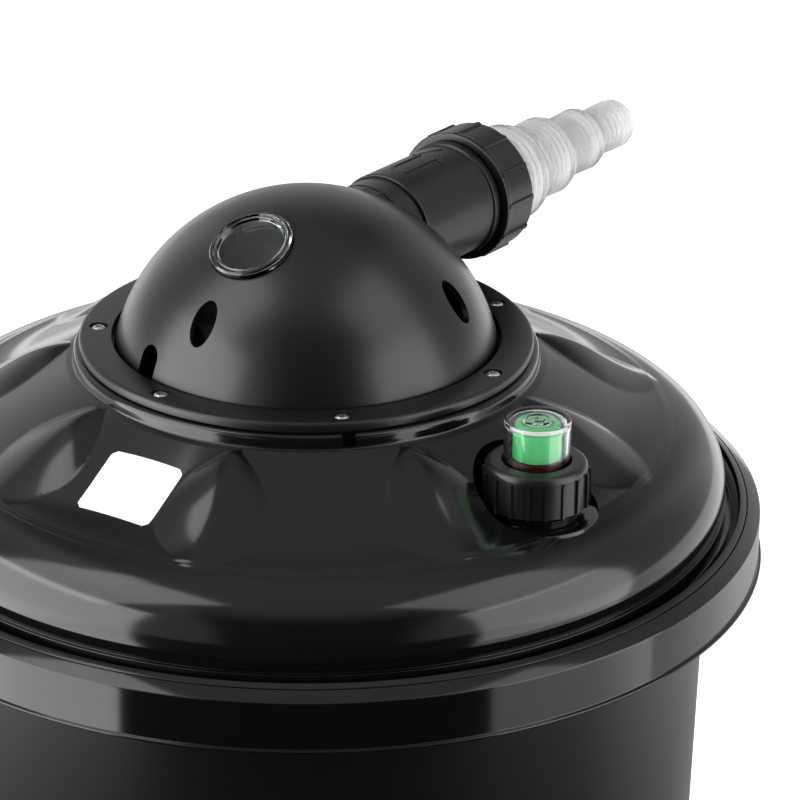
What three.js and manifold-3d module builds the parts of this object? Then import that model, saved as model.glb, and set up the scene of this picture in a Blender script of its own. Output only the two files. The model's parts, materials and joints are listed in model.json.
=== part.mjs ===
// Pressurised pond filter: a round drum with a fluted lid, an ultraviolet head under a
// dome, a flow indicator on the lid and stepped hose tails on the inlet and outlet.
// Millimetres, +Z up, origin at the centre of the drum's underside.
import * as THREE from 'three';
import { mergeVertices } from 'three/addons/utils/BufferGeometryUtils.js';
import Module from 'manifold-3d';

const wasm = await Module();
wasm.setup();

// ---------------------------------------------------------------- driving dimensions
const GAP = 0.3;                 // between pieces that touch
const RUN = 0.6;                 // radial running clearance of turning pieces
const BIG_FACETS = 36;           // round the drum and its rings
const ROUND_FACETS = 28;         // round the dome and the head's rings
const MID_FACETS = 20;           // round the tubes
const FINE_FACETS = 14;          // round the fittings
const HOLE_FACETS = 6;           // round a small hole

// drum
const RIM_Z = 350;               // top outer edge of the drum's rim band
const BAND_R = 190;              // every radius of the drum and the lid follows this one
const BAND_DEPTH = 19.5;
const BAND_EDGE = 2;             // rounding of the band's top edge
const BAND_FLARE = 0.6;          // the band is this much wider at its foot
const BAND_WALL = 5.6;
const BAND_STEP = 21.2;          // from the band in to the wall below it
const DRUM_DRAFT = 7;            // the drum is this much narrower at its base
const DRUM_WALL = 4;
const FLOOR = 5;
const BASE_EDGE = 7;
const SEAT_DROP = 7.3;           // seal seat below the rim

// lid, heights above the rim
const LID_INSET = 15;            // from the band in to the lid's upright wall
const LID_WALL = 4.2;
const LID_FLANGE = 4.7;
const NECK_WALL = 12;            // the opening under the head is this much smaller than its flange
const COLLAR_WALL = 7.6;         // round the head's flange
const COLLAR_TOP = 68;
const COLLAR_EDGE = 2.2;
const COLLAR_DEPTH = 12;
const FLUTE_START = 2.8;         // from the collar out to where the fluted cone begins
// crest of a petal: share of the way from the collar to the lid's wall, and height
const CREST = [[0, 61.5], [0.184, 58], [0.434, 47.6], [0.697, 36.7], [0.908, 26], [1, 12]];
const PETAL_COUNT = 9;
const PETAL_AZ = -106.5;         // one petal's crest
const PETAL_TIPS = [-0.04, 0.69];   // its two tips, as shares of the same way
const PETAL_HALF = 10;           // degrees, at the widest
const PETAL_EDGES = [0, 0.125, 0.25, 0.5, 0.75, 0.875];   // facet edges, shares of one petal's pitch
const CREASE = [0.618, 33];      // foot of the flat panels between petals: share and height
const PANEL_END = 0.816;         // the panel's floor runs out into the shoulder here
const FLUTE_EDGES = [0, 0.1, 0.25, 0.43, CREASE[0], 0.7, PANEL_END];
const SHOULDER_EDGES = [0.908, 0.968, 1];
const KEY_AZ = -80;              // small notch in the collar
const KEY_SIZE = [8, 5.4, 5];

// locking ring and lid seal
const RING_ROOM = 3;             // round the lid's wall
const RING_TOP = 3;
const RING_DEPTH = 5;
const RING_EDGE = 1;
const SEAL_WIDTH = 5;
const SEAL_GROOVE = 3.8;
const SEAL_CROWN = 1;

// head: retaining ring, dome and chamber
const HEAD_SEAT = 3.7;           // flange recess in the collar
const HEAD_MARGIN = 8.6;         // the head's flange beyond the dome's foot
const HEAD_FIT = 0.6;            // radial room round the flange
const GASKET = 1.2;
const CLAMP_OVERHANG = 5.8;      // the retaining ring's outer edge beyond the head's flange
const CLAMP_ROOM = 0.8;          // round the dome's foot
const CLAMP_THICK = 4.1;
const CLAMP_EDGE = 1.6;
const SCREW_COUNT = 7;
const SCREW_AZ = -80.8;
const SCREW_R = 2;
const SCREW_HEAD_R = 3.1;
const SCREW_RECESS_R = 4;
const SCREW_RECESS = 1.6;
const SCREW_LENGTH = 13;
const DOME_R = 81.2;
const DOME_HEADROOM = 14.4;      // from the column up to the dome's top
const DOME_WALL = 2.6;
const DOME_SPLIT_INSET = 40.2;   // parting plane, from the dome's outside in towards the axis
const SIGHT_AZ = -126;
const SIGHT_EL = 62;
const SIGHT_R = 17.6;
const SIGHT_RIM = 4.5;
const VENT_EL = 34.8;
const VENT_LONG = 20;
const VENT_WIDE = 10.8;
const VENT_SPACING = 103;
const CABLE_SLOT_AZ = -145.7;
const CABLE_SLOT_WIDTH = 10.5;
const CABLE_SLOT_TOP = 15.5;     // above the dome's foot
const COLUMN_R = 28;             // water column round the lamp, under the dome
const COLUMN_WALL = 4;
const COLUMN_RISE = 16.4;        // above the outlet's axis
const ARM_START = 17;

// outlet
const PORT_AZ = 51.9;            // the outlet and inlet point this way
const OUTLET_ROOM = 5.2;         // between the outlet pipe and the retaining ring
const PIPE_R = 24;
const PIPE_WALL = 4;
const PIPE_REACH = 30.1;         // beyond the dome
const PIPE_LIP = 2;              // the flange stands this much proud of the pipe
const PIPE_FLANGE = 5;
const PIPE_BEAD = 4;             // raised ring behind the union nut
const PIPE_BEAD_RISE = 1;
const STUB_STEP = 1.4;           // the head's arm is this much thinner than the pipe
const STUB_REACH = 11;           // beyond the parting plane

// union nut and hose tail, the same on the outlet and the inlet
const NUT_WALL = 1.1;            // over the pipe's flange
const NUT_RIB = 1;
const NUT_RIB_COUNT = 12;
const NUT_LENGTH = 19.5;
const NUT_LIP = 3.4;
const TAIL_STEPS = [20.6, 16.6, 13.2, 10.3];
const TAIL_STEP_LENGTH = 27;
const TAIL_BARB = 1.1;
const TAIL_BARB_EDGE = 4;        // from a step's widest ring to its end
const TAIL_WALL = 2.2;
const TAIL_FLANGE = 4;
const UNION_SEAL = 2.4;

// inlet
const INLET_Z = 62;
const INLET_BOSS_R = 33;
const INLET_BOSS = 4;
const INLET_STUB = 26;

// flow indicator, on a level pad sunk into one panel
const GAUGE_AZ = -46.5;
const GAUGE_PLACE = 0.42105;      // share of the way from the collar to the lid's wall
const GAUGE_PAD_Z = 31.5;
const GAUGE_PAD_R = 25;
const GAUGE_PAD = 4.5;
const GAUGE_WELL_WALL = 3;
const GAUGE_BOSS_R = 17.6;
const GAUGE_BOSS_TOP = 52;
const GAUGE_BOSS_WALL = 3;
const GAUGE_SEAL = 1.2;
const GAUGE_NUT_WALL = 2.4;
const GAUGE_NUT_RIB = 1;
const GAUGE_NUT_RIB_COUNT = 12;
const GAUGE_NUT_Z = 41;
const GAUGE_NUT_TOP = 58.5;
const GAUGE_NUT_EDGE = 3.4;
const BULB_R = 13.2;
const BULB_ROOM = 0.8;           // between the bulb and the nut's bore
const BULB_TOP = 75.6;
const BULB_WALL = 1.6;
const BULB_FLANGE_R = 16.6;
const BULB_FLANGE = 2.2;
const BULB_EDGE = 3.2;
const FLOAT_R = 9.6;
const FLOAT_TOP = 72;
const FLOAT_GREEN = 12;
const FLOAT_RED = 4;
const FLOAT_RIM = 2.6;
const FLOAT_DISH = 2.4;
const FLOAT_TRAVEL = 10;
const GUIDE_R = 4;
const SPIDER = 3;
const SPRING_R = 6.6;
const SPRING_WIRE = 1.2;
const SPRING_COILS = 4;

// ultraviolet lamp and the filter's inside
const SLEEVE_R = 14;
const SLEEVE_WALL = 1.5;
const SLEEVE_BOTTOM = -150;
const SLEEVE_TIP = 7;
const SLEEVE_SEAL = 3.6;
const SLEEVE_SEAL_WIDTH = 2.2;
const HOLDER_HEIGHT = 8;
const LAMP_TUBE_R = 4.6;
const LAMP_PITCH = 5.6;
const LAMP_LENGTH = 200;
const LAMP_BASE = 24;
const BALLAST = [26, 44, 24];
const GLAND_R = 4.6;
const GLAND_BORE = 2.6;
const CABLE_ROOM = 15.8;         // between the gland and the dome's foot
const GLAND_LIP = 2.5;
const GLAND_Z = 12;
const SHROUD_R = 31;
const SHROUD_WALL = 2.5;
const SHROUD_BOTTOM = -165;
const MEDIA_ROOM = 2;            // between the foam and the drum's wall
const PLATE_ROOM = 8;            // between the plates and the drum's wall
const CAGE_R = 46;
const CAGE_WALL = 3;
const CAGE_TOP = 285;
const CAGE_SLOT_COUNT = 6;
const CAGE_SLOT_WIDTH = 12;
const CAGE_BAND = 30;            // closed part of the cage under and over its slots
const GRATE_Z = 96;
const GRATE_THICK = 5;
const GRATE_LIP = 8;             // the grate reaches this far in under the cage
const GRATE_LEG = [18, 6];
const GRATE_LEG_COUNT = 6;
const GRATE_LEG_INSET = 24;
const FLOW_HOLE_COUNT = 6;
const FLOW_HOLE_R = 16;
const FOAM_COUNT = 4;
const FOAM_HEIGHT = 42;
const PLATE_THICK = 4;
const CAGE_NUT_HEIGHT = 12;
const CAGE_NUT_WIDTH = 9;
const CAGE_NUT_RIB = 2;
const CAGE_NUT_RIB_COUNT = 8;

// ---------------------------------------------------------------- sizes that follow
const THREAD_R = BAND_R - BAND_WALL;
const DRUM_R = BAND_R - BAND_STEP;
const BASE_R = DRUM_R - DRUM_DRAFT;
const DRUM_IN_R = DRUM_R - DRUM_WALL;
const SEAT_Z = RIM_Z - SEAT_DROP;
const SEAL_R = (DRUM_IN_R + THREAD_R) / 2;
const OUTLET_Z = COLLAR_TOP + GAP + CLAMP_THICK + OUTLET_ROOM + PIPE_R;
const COLUMN_TOP = OUTLET_Z + COLUMN_RISE;
const DOME_CENTRE = COLUMN_TOP + DOME_HEADROOM - DOME_R;   // above the rim
const DOME_FOOT_R = Math.sqrt(DOME_R ** 2 - (COLLAR_TOP + GAP - DOME_CENTRE) ** 2);
const HEAD_FLANGE_R = DOME_FOOT_R + HEAD_MARGIN;
const LID_R = BAND_R - LID_INSET;
const NECK_R = HEAD_FLANGE_R - NECK_WALL;
const SOCKET_R = HEAD_FLANGE_R + HEAD_FIT;
const COLLAR_R = SOCKET_R + COLLAR_WALL;
const FLUTE_IN = COLLAR_R + FLUTE_START;
const across = share => FLUTE_IN + (LID_R - FLUTE_IN) * share;
const CLAMP_Z = RIM_Z + COLLAR_TOP + GAP;
const CLAMP_TOP = CLAMP_Z + CLAMP_THICK;
const CLAMP_R = HEAD_FLANGE_R + CLAMP_OVERHANG;
const CLAMP_IN = DOME_FOOT_R + CLAMP_ROOM;
const SCREW_PCD = (CLAMP_IN + HEAD_FLANGE_R) / 2 + SCREW_R;
const DOME_SPLIT = DOME_R - DOME_SPLIT_INSET;
const STUB_END = DOME_SPLIT + STUB_REACH;
const PIPE_END = DOME_R + PIPE_REACH;
const BORE_R = PIPE_R - PIPE_WALL;
const STUB_R = PIPE_R - STUB_STEP;
const PIPE_FLANGE_R = PIPE_R + PIPE_LIP;
const PIPE_BEAD_R = PIPE_R + PIPE_BEAD_RISE;
const NUT_R = PIPE_FLANGE_R + RUN + NUT_WALL;
const GAUGE_R = across(GAUGE_PLACE);
const GAUGE_NUT_R = GAUGE_BOSS_R + RUN + GAUGE_NUT_WALL;
const DUCT_R = GAUGE_BOSS_R - GAUGE_BOSS_WALL;
const GAUGE_NUT_BORE = BULB_R + BULB_ROOM;
const MEDIA_R = BASE_R - DRUM_WALL - MEDIA_ROOM;
const PLATE_R = BASE_R - DRUM_WALL - PLATE_ROOM;
const FLOW_HOLE_PCD = (PLATE_R + CAGE_R) / 2;
const REACH = 2 * BAND_R;        // longer than any piece that a cut has to pass through

// ---------------------------------------------------------------- materials
const look = (colour, roughness, metalness = 0, opacity = 1) => new THREE.MeshStandardMaterial({
  color: colour, roughness, metalness, opacity, transparent: opacity < 1,
});
const LOOK = {
  drum: look(0x1b1b1c, 0.42),
  gloss: look(0x141415, 0.18),
  satin: look(0x1e1e20, 0.38),
  clear: look(0xe8edf0, 0.08, 0, 0.4),
  green: look(0x3fbf63, 0.35),
  red: look(0x8e1d1d, 0.4),
  rubber: look(0x101010, 0.75),
  steel: look(0xb9bcc0, 0.28, 1),
  glass: look(0xe4eef4, 0.04, 0, 0.35),
  foam: look(0x2f4f7a, 0.95),
  white: look(0xe9e9e6, 0.4),
};

// ---------------------------------------------------------------- solid helpers
const RAD = Math.PI / 180;

function manifoldOf(position, triangles) {
  return new wasm.Manifold(new wasm.Mesh({
    numProp: 3,
    vertProperties: Float32Array.from(position),
    triVerts: Uint32Array.from(triangles),
  }));
}

// A closed three.js geometry as a solid, with its faces turned outwards.
function solid(geometry) {
  const bare = geometry.clone();
  bare.deleteAttribute('normal');
  bare.deleteAttribute('uv');
  const merged = mergeVertices(bare, 1e-4);
  const index = merged.index.array;
  const triangles = [];
  for (let i = 0; i < index.length; i += 3) {
    const [a, b, c] = index.slice(i, i + 3);
    if (a !== b && b !== c && c !== a) triangles.push(a, b, c);
  }
  const body = manifoldOf(merged.attributes.position.array, triangles);
  return body.volume() < 0
    ? manifoldOf(merged.attributes.position.array, triangles.reverse())
    : body;
}

// Revolves an outline of [radius, height] points about Z; it closes on itself or on the axis.
function revolve(outline, facets) {
  const points = outline.map(([r, z]) => new THREE.Vector2(r, z));
  if (outline[0][0] > 0) points.push(points[0].clone());
  return solid(new THREE.LatheGeometry(points, facets).rotateX(Math.PI / 2));
}

const tube = (outer, inner, z0, z1, facets) =>
  revolve([[inner, z0], [outer, z0], [outer, z1], [inner, z1]], facets);

const rod = (radius, z0, z1, facets) =>
  revolve([[0, z0], [radius, z0], [radius, z1], [0, z1]], facets);

const box = (dx, dy, dz, x, y, z) =>
  solid(new THREE.BoxGeometry(dx, dy, dz).translate(x, y, z));

// Extrudes an outline of [x, y] points from z0 to z1.
function extrude(outline, z0, z1) {
  const shape = new THREE.Shape(outline.map(([x, y]) => new THREE.Vector2(x, y)));
  const geometry = new THREE.ExtrudeGeometry(shape, { depth: z1 - z0, bevelEnabled: false, steps: 1 });
  return solid(geometry.translate(0, 0, z0));
}

const moved = (body, matrix) => body.transform(matrix.elements);
const shifted = (body, x, y, z) => body.translate([x, y, z]);
const turned = (body, degrees) => body.rotate([0, 0, degrees]);
const together = bodies => bodies.reduce((sum, body) => sum.add(body));
const ring = (count, make) => Array.from({ length: count }, (_, i) => make(i));

// Places a piece made along +Z so that it points level along azimuth, from a height on the axis.
function level(azimuth, z) {
  const a = azimuth * RAD;
  const out = new THREE.Vector3(Math.cos(a), Math.sin(a), 0);
  const up = new THREE.Vector3(0, 0, 1);
  const side = new THREE.Vector3().crossVectors(out, up);
  return new THREE.Matrix4().makeBasis(up, side, out).setPosition(0, 0, z);
}

// Places a piece made along +Z so that it points out of the dome at azimuth and elevation.
function outOfDome(azimuth, elevation) {
  const a = azimuth * RAD;
  const e = elevation * RAD;
  const out = new THREE.Vector3(Math.cos(a) * Math.cos(e), Math.sin(a) * Math.cos(e), Math.sin(e));
  const side = new THREE.Vector3(-Math.sin(a), Math.cos(a), 0);
  const up = new THREE.Vector3().crossVectors(out, side);
  return new THREE.Matrix4().makeBasis(side, up, out).setPosition(0, 0, RIM_Z + DOME_CENTRE);
}

const filter = new THREE.Group();

function add(name, body, material) {
  const data = body.getMesh();
  const geometry = new THREE.BufferGeometry();
  geometry.setAttribute('position', new THREE.BufferAttribute(Float32Array.from(data.vertProperties), 3));
  geometry.setIndex(new THREE.BufferAttribute(Uint32Array.from(data.triVerts), 1));
  const piece = new THREE.Mesh(geometry, material);
  piece.name = name;
  filter.add(piece);
}

// ---------------------------------------------------------------- drum
const drumRadius = z => BASE_R + DRUM_DRAFT * z / (RIM_Z - BAND_DEPTH);

function drum() {
  const half = SEAL_WIDTH / 2 + GAP;
  const arc = ring(3, i => {
    const a = i * 45 * RAD;
    return [BAND_R - BAND_EDGE + BAND_EDGE * Math.cos(a), RIM_Z + BAND_EDGE * Math.sin(a)];
  });
  const shell = revolve([
    [0, 0], [BASE_R - BASE_EDGE, 0], [drumRadius(BASE_EDGE), BASE_EDGE],
    [DRUM_R, RIM_Z - BAND_DEPTH], [BAND_R + BAND_FLARE, RIM_Z - BAND_DEPTH], ...arc,
    [THREAD_R, RIM_Z + BAND_EDGE], [THREAD_R, SEAT_Z],
    [SEAL_R + half, SEAT_Z], [SEAL_R + half, SEAT_Z - SEAL_GROOVE],
    [SEAL_R - half, SEAT_Z - SEAL_GROOVE], [SEAL_R - half, SEAT_Z], [DRUM_IN_R, SEAT_Z],
    [BASE_R - DRUM_WALL, FLOOR], [0, FLOOR],
  ], BIG_FACETS);
  const face = BASE_R + INLET_STUB;
  const port = level(PORT_AZ, INLET_Z);
  const boss = moved(rod(INLET_BOSS_R, DRUM_IN_R - DRUM_DRAFT, BASE_R + INLET_BOSS, MID_FACETS), port);
  const keepIn = rod(BASE_R - DRUM_WALL / 2, FLOOR, INLET_Z + 2 * INLET_BOSS_R, BIG_FACETS);
  const stub = moved(rod(PIPE_R, BASE_R, face, MID_FACETS), port);
  const flange = moved(rod(PIPE_FLANGE_R, face - PIPE_FLANGE, face, MID_FACETS), port);
  const bore = moved(rod(BORE_R + GAP, BASE_R / 2, REACH, MID_FACETS), port);
  return together([shell, boss.subtract(keepIn), stub, flange]).subtract(bore);
}
add('drum', drum(), LOOK.drum);

// ---------------------------------------------------------------- lid
const crestCurve = new THREE.SplineCurve(CREST.map(([share, z]) => new THREE.Vector2(across(share), z)));
const crestLine = crestCurve.getPoints(60);

function crestHeight(r) {
  const i = crestLine.findIndex(p => p.x >= r);
  if (i <= 0) return i === 0 ? crestLine[0].y : crestLine.at(-1).y;
  const [a, b] = [crestLine[i - 1], crestLine[i]];
  return a.y + (b.y - a.y) * (r - a.x) / (b.x - a.x);
}

// Height between the petals: a flat cone down to the crease, then a flatter band to the shoulder.
function panelHeight(r) {
  const [creaseR, endR] = [across(CREASE[0]), across(PANEL_END)];
  if (r <= FLUTE_IN || r >= endR) return crestHeight(r);
  const [from, to] = r <= creaseR
    ? [[FLUTE_IN, crestHeight(FLUTE_IN)], [creaseR, CREASE[1]]]
    : [[creaseR, CREASE[1]], [endR, crestHeight(endR)]];
  return from[1] + (to[1] - from[1]) * (r - from[0]) / (to[0] - from[0]);
}

// Half-width in degrees of the leaf-shaped petal at radius r.
function petalHalf(r) {
  const [tipIn, tipOut] = PETAL_TIPS.map(across);
  const t = THREE.MathUtils.clamp((r - tipIn) / (tipOut - tipIn), 0, 1);
  return PETAL_HALF * Math.sin(Math.PI * t) ** 0.7;
}

// Height of the lid's outside: folded petals, with flat panels sunk between them.
function lidHeight(r, degrees) {
  const pitch = 360 / PETAL_COUNT;
  const off = Math.abs(THREE.MathUtils.euclideanModulo(degrees - PETAL_AZ + pitch / 2, pitch) - pitch / 2);
  const rise = Math.max(0, 1 - off / Math.max(petalHalf(r), 1));
  return panelHeight(r) + (crestHeight(r) - panelHeight(r)) * rise;
}

// A solid turned about Z whose closed outline [r, z] changes with the angle. An outline that
// starts and ends on the axis is filled, and any other makes a ring.
function modulated(outlineAt) {
  const pitch = 360 / PETAL_COUNT;
  const angles = ring(PETAL_COUNT, k => PETAL_EDGES.map(share => PETAL_AZ + (k + share) * pitch)).flat();
  const rows = angles.map(outlineAt);
  const size = rows[0].length;
  const closed = rows[0][0][0] > 0;
  const position = rows.flatMap((row, j) => row.flatMap(([r, z]) => [
    r * Math.cos(angles[j] * RAD), r * Math.sin(angles[j] * RAD), z,
  ]));
  const at = (j, i) => (j % rows.length) * size + (i % size);
  const triangles = [];
  for (let j = 0; j < rows.length; j += 1) {
    for (let i = 0; i < (closed ? size : size - 1); i += 1) {
      triangles.push(at(j, i), at(j + 1, i), at(j + 1, i + 1), at(j, i), at(j + 1, i + 1), at(j, i + 1));
    }
  }
  const geometry = new THREE.BufferGeometry();
  geometry.setAttribute('position', new THREE.BufferAttribute(Float32Array.from(position), 3));
  geometry.setIndex(triangles);
  return solid(geometry);
}

const FLANGE_TOP = RING_TOP - RING_DEPTH - GAP;
const FLANGE_LOW = FLANGE_TOP - LID_FLANGE;
const FLANGE_R = THREAD_R - 2 * RUN;

// The lid's outside from the petals' tips to the foot of its wall, as [r, height above the rim].
const lidOutside = degrees => [
  ...FLUTE_EDGES.map(share => [across(share), lidHeight(across(share), degrees)]),
  ...SHOULDER_EDGES.map(share => [across(share), crestHeight(across(share))]),
];

// The same line inside the wall, with fewer points.
const lidInside = degrees => lidOutside(degrees).filter((_, i) => i % 3 === 0).map(([r, z]) => [
  r - LID_WALL * (r === LID_R ? 1 : 0.5), z - LID_WALL,
]);

const aboveRim = outline => outline.map(([r, z]) => [r, RIM_Z + z]);

function lidShell() {
  const seat = COLLAR_TOP - HEAD_SEAT - GAP;
  return modulated(degrees => aboveRim([
    [NECK_R, COLLAR_TOP - COLLAR_DEPTH], [NECK_R, seat], [SOCKET_R, seat], [SOCKET_R, COLLAR_TOP],
    [COLLAR_R - COLLAR_EDGE, COLLAR_TOP], [COLLAR_R, COLLAR_TOP - COLLAR_EDGE], ...lidOutside(degrees),
    [LID_R, FLANGE_TOP], [FLANGE_R, FLANGE_TOP], [FLANGE_R, FLANGE_LOW], [LID_R - LID_WALL, FLANGE_LOW],
    ...lidInside(degrees).reverse(),
  ]));
}

const screwTurn = i => SCREW_AZ + i * 360 / SCREW_COUNT;
const aroundScrews = piece => together(ring(SCREW_COUNT, i => turned(piece, screwTurn(i))));
const screwHoles = (radius, z0, z1) =>
  aroundScrews(shifted(rod(radius, z0, z1, HOLE_FACETS), SCREW_PCD, 0, 0));
const atGauge = body => turned(shifted(body, GAUGE_R, 0, RIM_Z), GAUGE_AZ);

function lid() {
  const filled = modulated(degrees => aboveRim([
    [0, COLLAR_TOP - COLLAR_DEPTH], ...lidOutside(degrees), [LID_R, FLANGE_LOW], [0, FLANGE_LOW],
  ]));
  const key = turned(box(...KEY_SIZE, COLLAR_R, 0, RIM_Z + COLLAR_TOP - KEY_SIZE[2] / 2), KEY_AZ);
  const pilots = screwHoles(SCREW_R + GAP, CLAMP_TOP - SCREW_LENGTH - GAP, CLAMP_TOP);
  const padLow = GAUGE_PAD_Z - GAUGE_PAD;
  const well = atGauge(rod(GAUGE_PAD_R + GAUGE_WELL_WALL, padLow, COLLAR_TOP, MID_FACETS)).intersect(filled);
  const sink = atGauge(rod(GAUGE_PAD_R, GAUGE_PAD_Z, COLLAR_TOP, MID_FACETS));
  const boss = atGauge(rod(GAUGE_BOSS_R, padLow, GAUGE_BOSS_TOP, MID_FACETS));
  const duct = atGauge(rod(DUCT_R, padLow - GAUGE_PAD, COLLAR_TOP, MID_FACETS));
  return lidShell().subtract(key).subtract(pilots).add(well).subtract(sink).add(boss).subtract(duct);
}
add('lid', lid(), LOOK.gloss);

const sealLow = SEAT_Z - SEAL_GROOVE + GAP;
add('lid_seal', revolve([
  [SEAL_R - SEAL_WIDTH / 2, sealLow], [SEAL_R + SEAL_WIDTH / 2, sealLow],
  [SEAL_R + SEAL_WIDTH / 2, SEAT_Z - SEAL_CROWN], [SEAL_R, SEAT_Z],
  [SEAL_R - SEAL_WIDTH / 2, SEAT_Z - SEAL_CROWN],
], BIG_FACETS), LOOK.rubber);

function lockingRing() {
  const top = RIM_Z + RING_TOP;
  const inner = LID_R + RING_ROOM;
  const outer = THREAD_R * Math.cos(Math.PI / BIG_FACETS) - GAP;   // its corners clear the flats around it
  return revolve([
    [inner, top - RING_DEPTH], [outer, top - RING_DEPTH], [outer, top - RING_EDGE], [outer - RING_EDGE, top],
    [inner, top],
  ], BIG_FACETS);
}
add('locking_ring', lockingRing(), LOOK.gloss);

// ---------------------------------------------------------------- head
const HEAD_FLOOR = RIM_Z + COLLAR_TOP;
const gasketZ = HEAD_FLOOR - HEAD_SEAT;
const headZ = gasketZ + GASKET + GAP;
add('head_gasket', tube(SCREW_PCD - SCREW_R - 2 * GAP, NECK_R + 1, gasketZ, gasketZ + GASKET, ROUND_FACETS),
  LOOK.rubber);

function retainingRing() {
  const body = revolve([
    [CLAMP_IN, CLAMP_Z], [CLAMP_R, CLAMP_Z], [CLAMP_R, CLAMP_TOP - CLAMP_EDGE],
    [CLAMP_R - CLAMP_EDGE, CLAMP_TOP], [CLAMP_IN, CLAMP_TOP],
  ], ROUND_FACETS);
  return body.subtract(screwHoles(SCREW_R + GAP, HEAD_FLOOR, CLAMP_TOP))
    .subtract(screwHoles(SCREW_RECESS_R, CLAMP_TOP - SCREW_RECESS, CLAMP_TOP + 1));
}
add('retaining_ring', retainingRing(), LOOK.satin);

const screw = revolve([
  [0, CLAMP_TOP - SCREW_LENGTH], [SCREW_R, CLAMP_TOP - SCREW_LENGTH],
  [SCREW_R, CLAMP_TOP - SCREW_RECESS + GAP], [SCREW_HEAD_R, CLAMP_TOP - SCREW_RECESS + GAP],
  [SCREW_R, CLAMP_TOP - GAP], [0, CLAMP_TOP - GAP],
], HOLE_FACETS);
for (let i = 0; i < SCREW_COUNT; i += 1) {
  add(`ring_screw_${i + 1}`, turned(shifted(screw, SCREW_PCD, 0, 0), screwTurn(i)), LOOK.steel);
}

const outletFrame = level(PORT_AZ, RIM_Z + OUTLET_Z);
const COLUMN_Z = RIM_Z + COLUMN_TOP;
const SLEEVE_TOP = COLUMN_Z - GAP;
const SLEEVE_SEAL_R = SLEEVE_R + SLEEVE_SEAL_WIDTH;

function headBody() {
  const flange = rod(HEAD_FLANGE_R, headZ, HEAD_FLOOR, ROUND_FACETS);
  const column = rod(COLUMN_R, headZ, COLUMN_Z, MID_FACETS);
  const arm = moved(rod(STUB_R, ARM_START, STUB_END, MID_FACETS), outletFrame);
  const inside = rod(COLUMN_R - COLUMN_WALL, RIM_Z, COLUMN_Z - COLUMN_WALL - SLEEVE_SEAL, MID_FACETS);
  const passage = moved(rod(BORE_R, ARM_START + COLUMN_WALL, REACH, MID_FACETS), outletFrame);
  const sleeveHole = rod(SLEEVE_R + GAP, headZ, REACH + COLUMN_Z, MID_FACETS);
  const sealHole = rod(SLEEVE_SEAL_R + GAP, COLUMN_Z - SLEEVE_SEAL - GAP, REACH + COLUMN_Z, MID_FACETS);
  return together([flange, column, arm]).subtract(inside).subtract(passage).subtract(sleeveHole)
    .subtract(sealHole).subtract(screwHoles(SCREW_R + GAP, RIM_Z, CLAMP_TOP));
}
add('uv_head_body', headBody(), LOOK.satin);

// The dome's shell, as a hollow cap of a sphere standing on the retaining ring's level.
function domeShell() {
  const domeZ = RIM_Z + DOME_CENTRE;
  const cap = (radius, foot, rows, facets) => {
    const low = Math.asin((foot - domeZ) / radius);
    const arc = ring(rows, i => {
      const a = low + (Math.PI / 2 - low) * i / rows;
      return [radius * Math.cos(a), domeZ + radius * Math.sin(a)];
    });
    return revolve([[0, foot], ...arc, [0, domeZ + radius]], facets);
  };
  return cap(DOME_R, CLAMP_Z, 7, ROUND_FACETS)
    .subtract(cap(DOME_R - DOME_WALL, CLAMP_Z - 1, 4, ROUND_FACETS / 2));
}

// Everything beyond a plane square to the outlet, at a distance from the axis.
const beyond = distance => moved(box(REACH, REACH, REACH, 0, 0, distance + REACH / 2), outletFrame);

function vent(azimuth) {
  const n = 5;
  const outline = ring(2 * n, i => {
    const side = i < n ? 1 : -1;
    const t = (i % n) / n;
    return [side * VENT_WIDE / 2 * Math.sin(Math.PI * t), side * VENT_LONG / 2 * Math.cos(Math.PI * t)];
  });
  return moved(extrude(outline, DOME_R / 2, REACH), outOfDome(azimuth, VENT_EL));
}

function cableSlot() {
  const half = CABLE_SLOT_WIDTH / 2;
  const foot = CLAMP_Z - RIM_Z;
  const arch = ring(5, i => {
    const a = i * 45 * RAD;
    return [foot + CABLE_SLOT_TOP - half + half * Math.sin(a), half * Math.cos(a)];
  });
  const outline = [[foot - half, half], ...arch, [foot - half, -half]];
  return moved(extrude(outline, DOME_R / 2, REACH), level(CABLE_SLOT_AZ, RIM_Z));
}

// Room in the dome for the head's arm and, further out, for the wider outlet pipe.
const domeArm = moved(revolve([
  [0, 0], [STUB_R + GAP, 0], [STUB_R + GAP, STUB_END - 1], [PIPE_R + GAP, STUB_END - 1],
  [PIPE_R + GAP, PIPE_END], [0, PIPE_END],
], MID_FACETS), outletFrame);
const shell = domeShell();
const VENT_AZ = PORT_AZ - 180;

function domeFront() {
  const sight = moved(rod(SIGHT_R, DOME_R / 2, REACH, FINE_FACETS), outOfDome(SIGHT_AZ, SIGHT_EL));
  const vents = [0, VENT_SPACING, -VENT_SPACING].map(turn => vent(VENT_AZ + turn));
  return shell.subtract(beyond(DOME_SPLIT - GAP)).subtract(sight).subtract(cableSlot()).subtract(domeArm)
    .subtract(together(vents));
}
add('dome_front_cover', domeFront(), LOOK.satin);
add('dome_rear_cover', shell.intersect(beyond(DOME_SPLIT)).subtract(domeArm), LOOK.satin);

function sightGlass() {
  const r = SIGHT_R - GAP;
  const [low, step, face] = [DOME_R - 6, DOME_R - 4.5, DOME_R - 0.4];
  return revolve([
    [0, low], [r - 2, low], [r - 2, step], [r, step], [r, face + 0.6], [r - 2, face + 1.3],
    [r - SIGHT_RIM, face], [0, face],
  ], FINE_FACETS);
}
add('sight_glass', moved(sightGlass(), outOfDome(SIGHT_AZ, SIGHT_EL)), LOOK.clear);

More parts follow.
